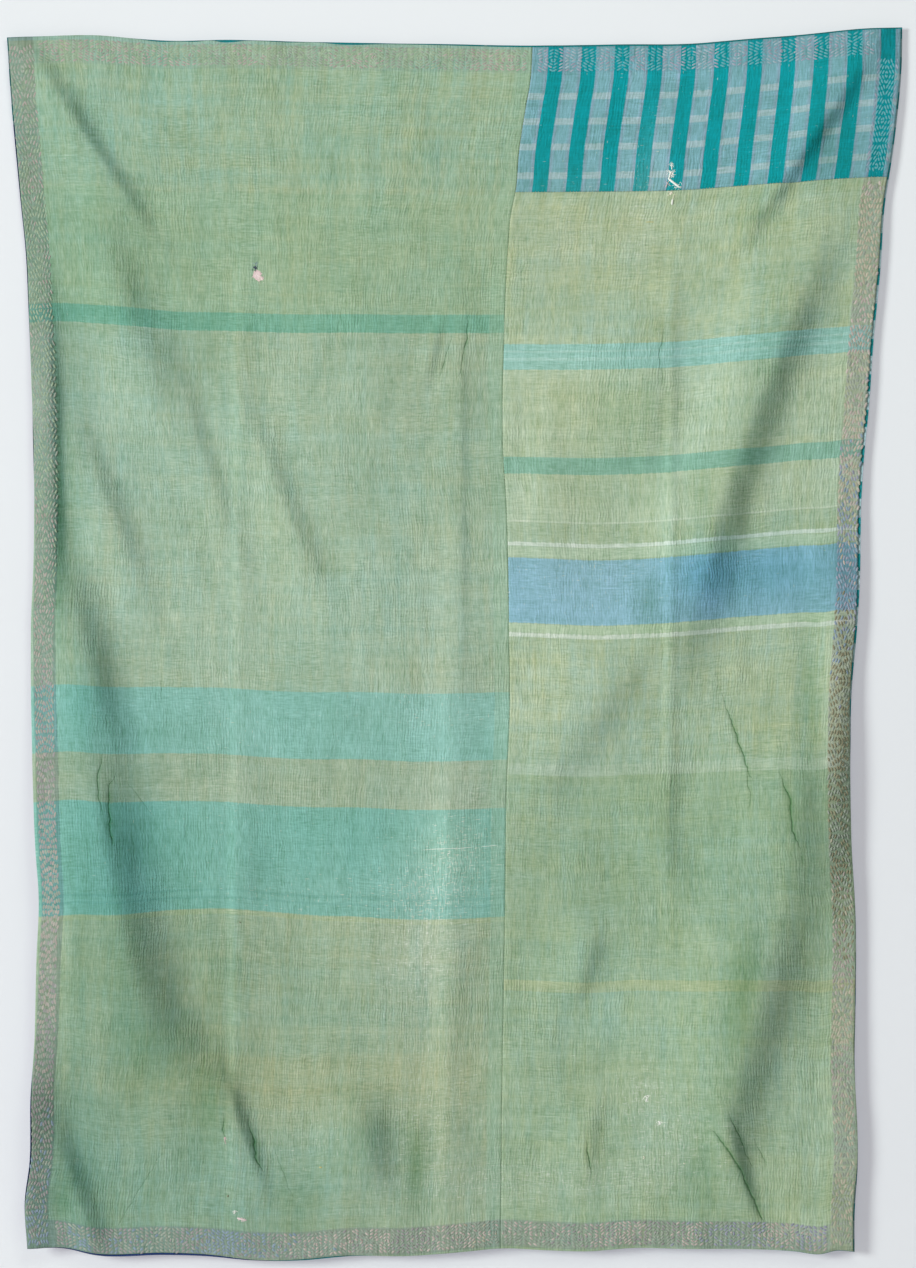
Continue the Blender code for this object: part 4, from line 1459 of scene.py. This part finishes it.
right_loose_threads = lay_threads(
    "right_loose_threads",
    [
        (((0.7370, 0.1478), (0.7419, 0.1477), (0.7465, 0.1479)), 1.3, THREADS["gold"]),
        (((0.7515, 0.9240), (0.7530, 0.9256), (0.7512, 0.9268)), 1.6, CREAM),
        (((0.7979, 0.9290), (0.8000, 0.9296)), 1.6, CREAM),
        (((0.7530, 0.8745), (0.7560, 0.8752), (0.7562, 0.8775), (0.7545, 0.8790)), 1.6, BRIGHT),
        (((0.7690, 0.8945), (0.7710, 0.8962), (0.7700, 0.8980)), 1.8, BRIGHT),
    ]
    + tuft((0.7554, 0.8762), (4, 5), 16, 4.0, 0.7, BRIGHT, 76)
    + tuft((0.7701, 0.8960), (4, 4), 14, 4.0, 0.7, BRIGHT, 77)
    + tuft((0.9960, 0.2870), (2, 5), 16, 3.5, 0.8, THREADS["lilac"], 78),
)


# ---- Studio ---------------------------------------------------------------------------------------
# A pale wall close behind the quilt, a pale floor below it, a large soft light to the left and a
# weaker one to the right, and the camera square on to the quilt.

WALL_GAP = 0.008  # behind the quilt's top edge
WALL_LEAN = 0.008  # how much further back it is for each metre down
WALL_TOP = 1.5
FLOOR_DEPTH = -3.0
ROOM_HALF = 6  # of the wall's and the floor's width
CAMERA_DISTANCE = 9.0
CAMERA_DROP = -0.9786
VIEW_HEIGHT = 2.105  # seen at the quilt
FILM = 36  # mm


def plane(name, corners, colour):
    """A plain matt surface of the studio."""
    mesh = bpy.data.meshes.new(name)
    mesh.from_pydata(corners, [], [(0, 1, 2, 3)])
    thing = bpy.data.objects.new(name, mesh)
    bpy.context.scene.collection.objects.link(thing)
    material = bpy.data.materials.new(name)
    material.use_nodes = True
    shader = material.node_tree.nodes["Principled BSDF"]
    shader.inputs["Base Color"].default_value = (*colour, 1)
    shader.inputs["Roughness"].default_value = 0.9
    mesh.materials.append(material)
    return thing


wall_foot = WALL_GAP - WALL_LEAN * FLOOR_DEPTH
wall_head = WALL_GAP - WALL_LEAN * WALL_TOP
wall = plane(
    "wall",
    [
        (-ROOM_HALF, wall_foot, FLOOR_DEPTH),
        (ROOM_HALF, wall_foot, FLOOR_DEPTH),
        (ROOM_HALF, wall_head, WALL_TOP),
        (-ROOM_HALF, wall_head, WALL_TOP),
    ],
    (0.487, 0.532, 0.521),
)
tree = wall.data.materials[0].node_tree
paint = tree.nodes["Principled BSDF"]
# The wall glows faintly: painted light that lifts the quilt's shadow on it and tints that shadow lilac.
paint.inputs["Emission Color"].default_value = (0.88, 0.80, 0.94, 1)
paint.inputs["Emission Strength"].default_value = 0.32
# The wall lets the view through from behind, so that the quilt's back can be seen.
see_through = add_node(tree, "ShaderNodeBsdfTransparent").outputs[0]
behind = add_node(tree, "ShaderNodeNewGeometry").outputs["Backfacing"]
one_way = add_node(tree, "ShaderNodeMixShader", {0: behind, 1: paint.outputs[0], 2: see_through})
tree.links.new(one_way.outputs[0], tree.nodes["Material Output"].inputs["Surface"])
plane(
    "floor",
    [
        (ROOM_HALF * x, ROOM_HALF * y, FLOOR_DEPTH)
        for x, y in ((-1, -1), (1, -1), (1, 1), (-1, 1))
    ],
    (0.78, 0.78, 0.78),
)


def soft_light(name, place, target, size, power, colour=(1, 1, 1)):
    """A round area light that faces its target."""
    lamp = bpy.data.lights.new(name, "AREA")
    lamp.shape = "DISK"
    lamp.size = size
    lamp.energy = power
    lamp.color = colour
    light = bpy.data.objects.new(name, lamp)
    bpy.context.scene.collection.objects.link(light)
    light.location = place
    light.rotation_euler = (Vector(target) - Vector(place)).to_track_quat("-Z", "Y").to_euler()
    return light


soft_light("window_light", (-12.0, -9.8, 1.3), (0, 0, -0.9), 5.6, 2500)
soft_light("room_light", (0.6, -3.0, 0.9), (0.1, 0, -0.9), 1.6, 34, (0.95, 1.0, 0.92))
soft_light("light_on_the_back", (1.5, 3.4, 0.4), (0, 0, -1.0), 2.2, 70)

world = bpy.data.worlds.new("room")
world.use_nodes = True
room = world.node_tree.nodes["Background"]
room.inputs["Color"].default_value = (0.86, 1.0, 0.84, 1)
room.inputs["Strength"].default_value = 0.08
bpy.context.scene.world = world
bpy.context.scene.view_settings.view_transform = "Standard"

lens = bpy.data.cameras.new("camera")
lens.sensor_width = FILM
lens.lens = FILM * CAMERA_DISTANCE / VIEW_HEIGHT
camera = bpy.data.objects.new("camera", lens)
camera.location = (0, -CAMERA_DISTANCE, CAMERA_DROP)
camera.rotation_euler = (np.pi / 2, 0, 0)
bpy.context.scene.collection.objects.link(camera)
bpy.context.scene.camera = camera
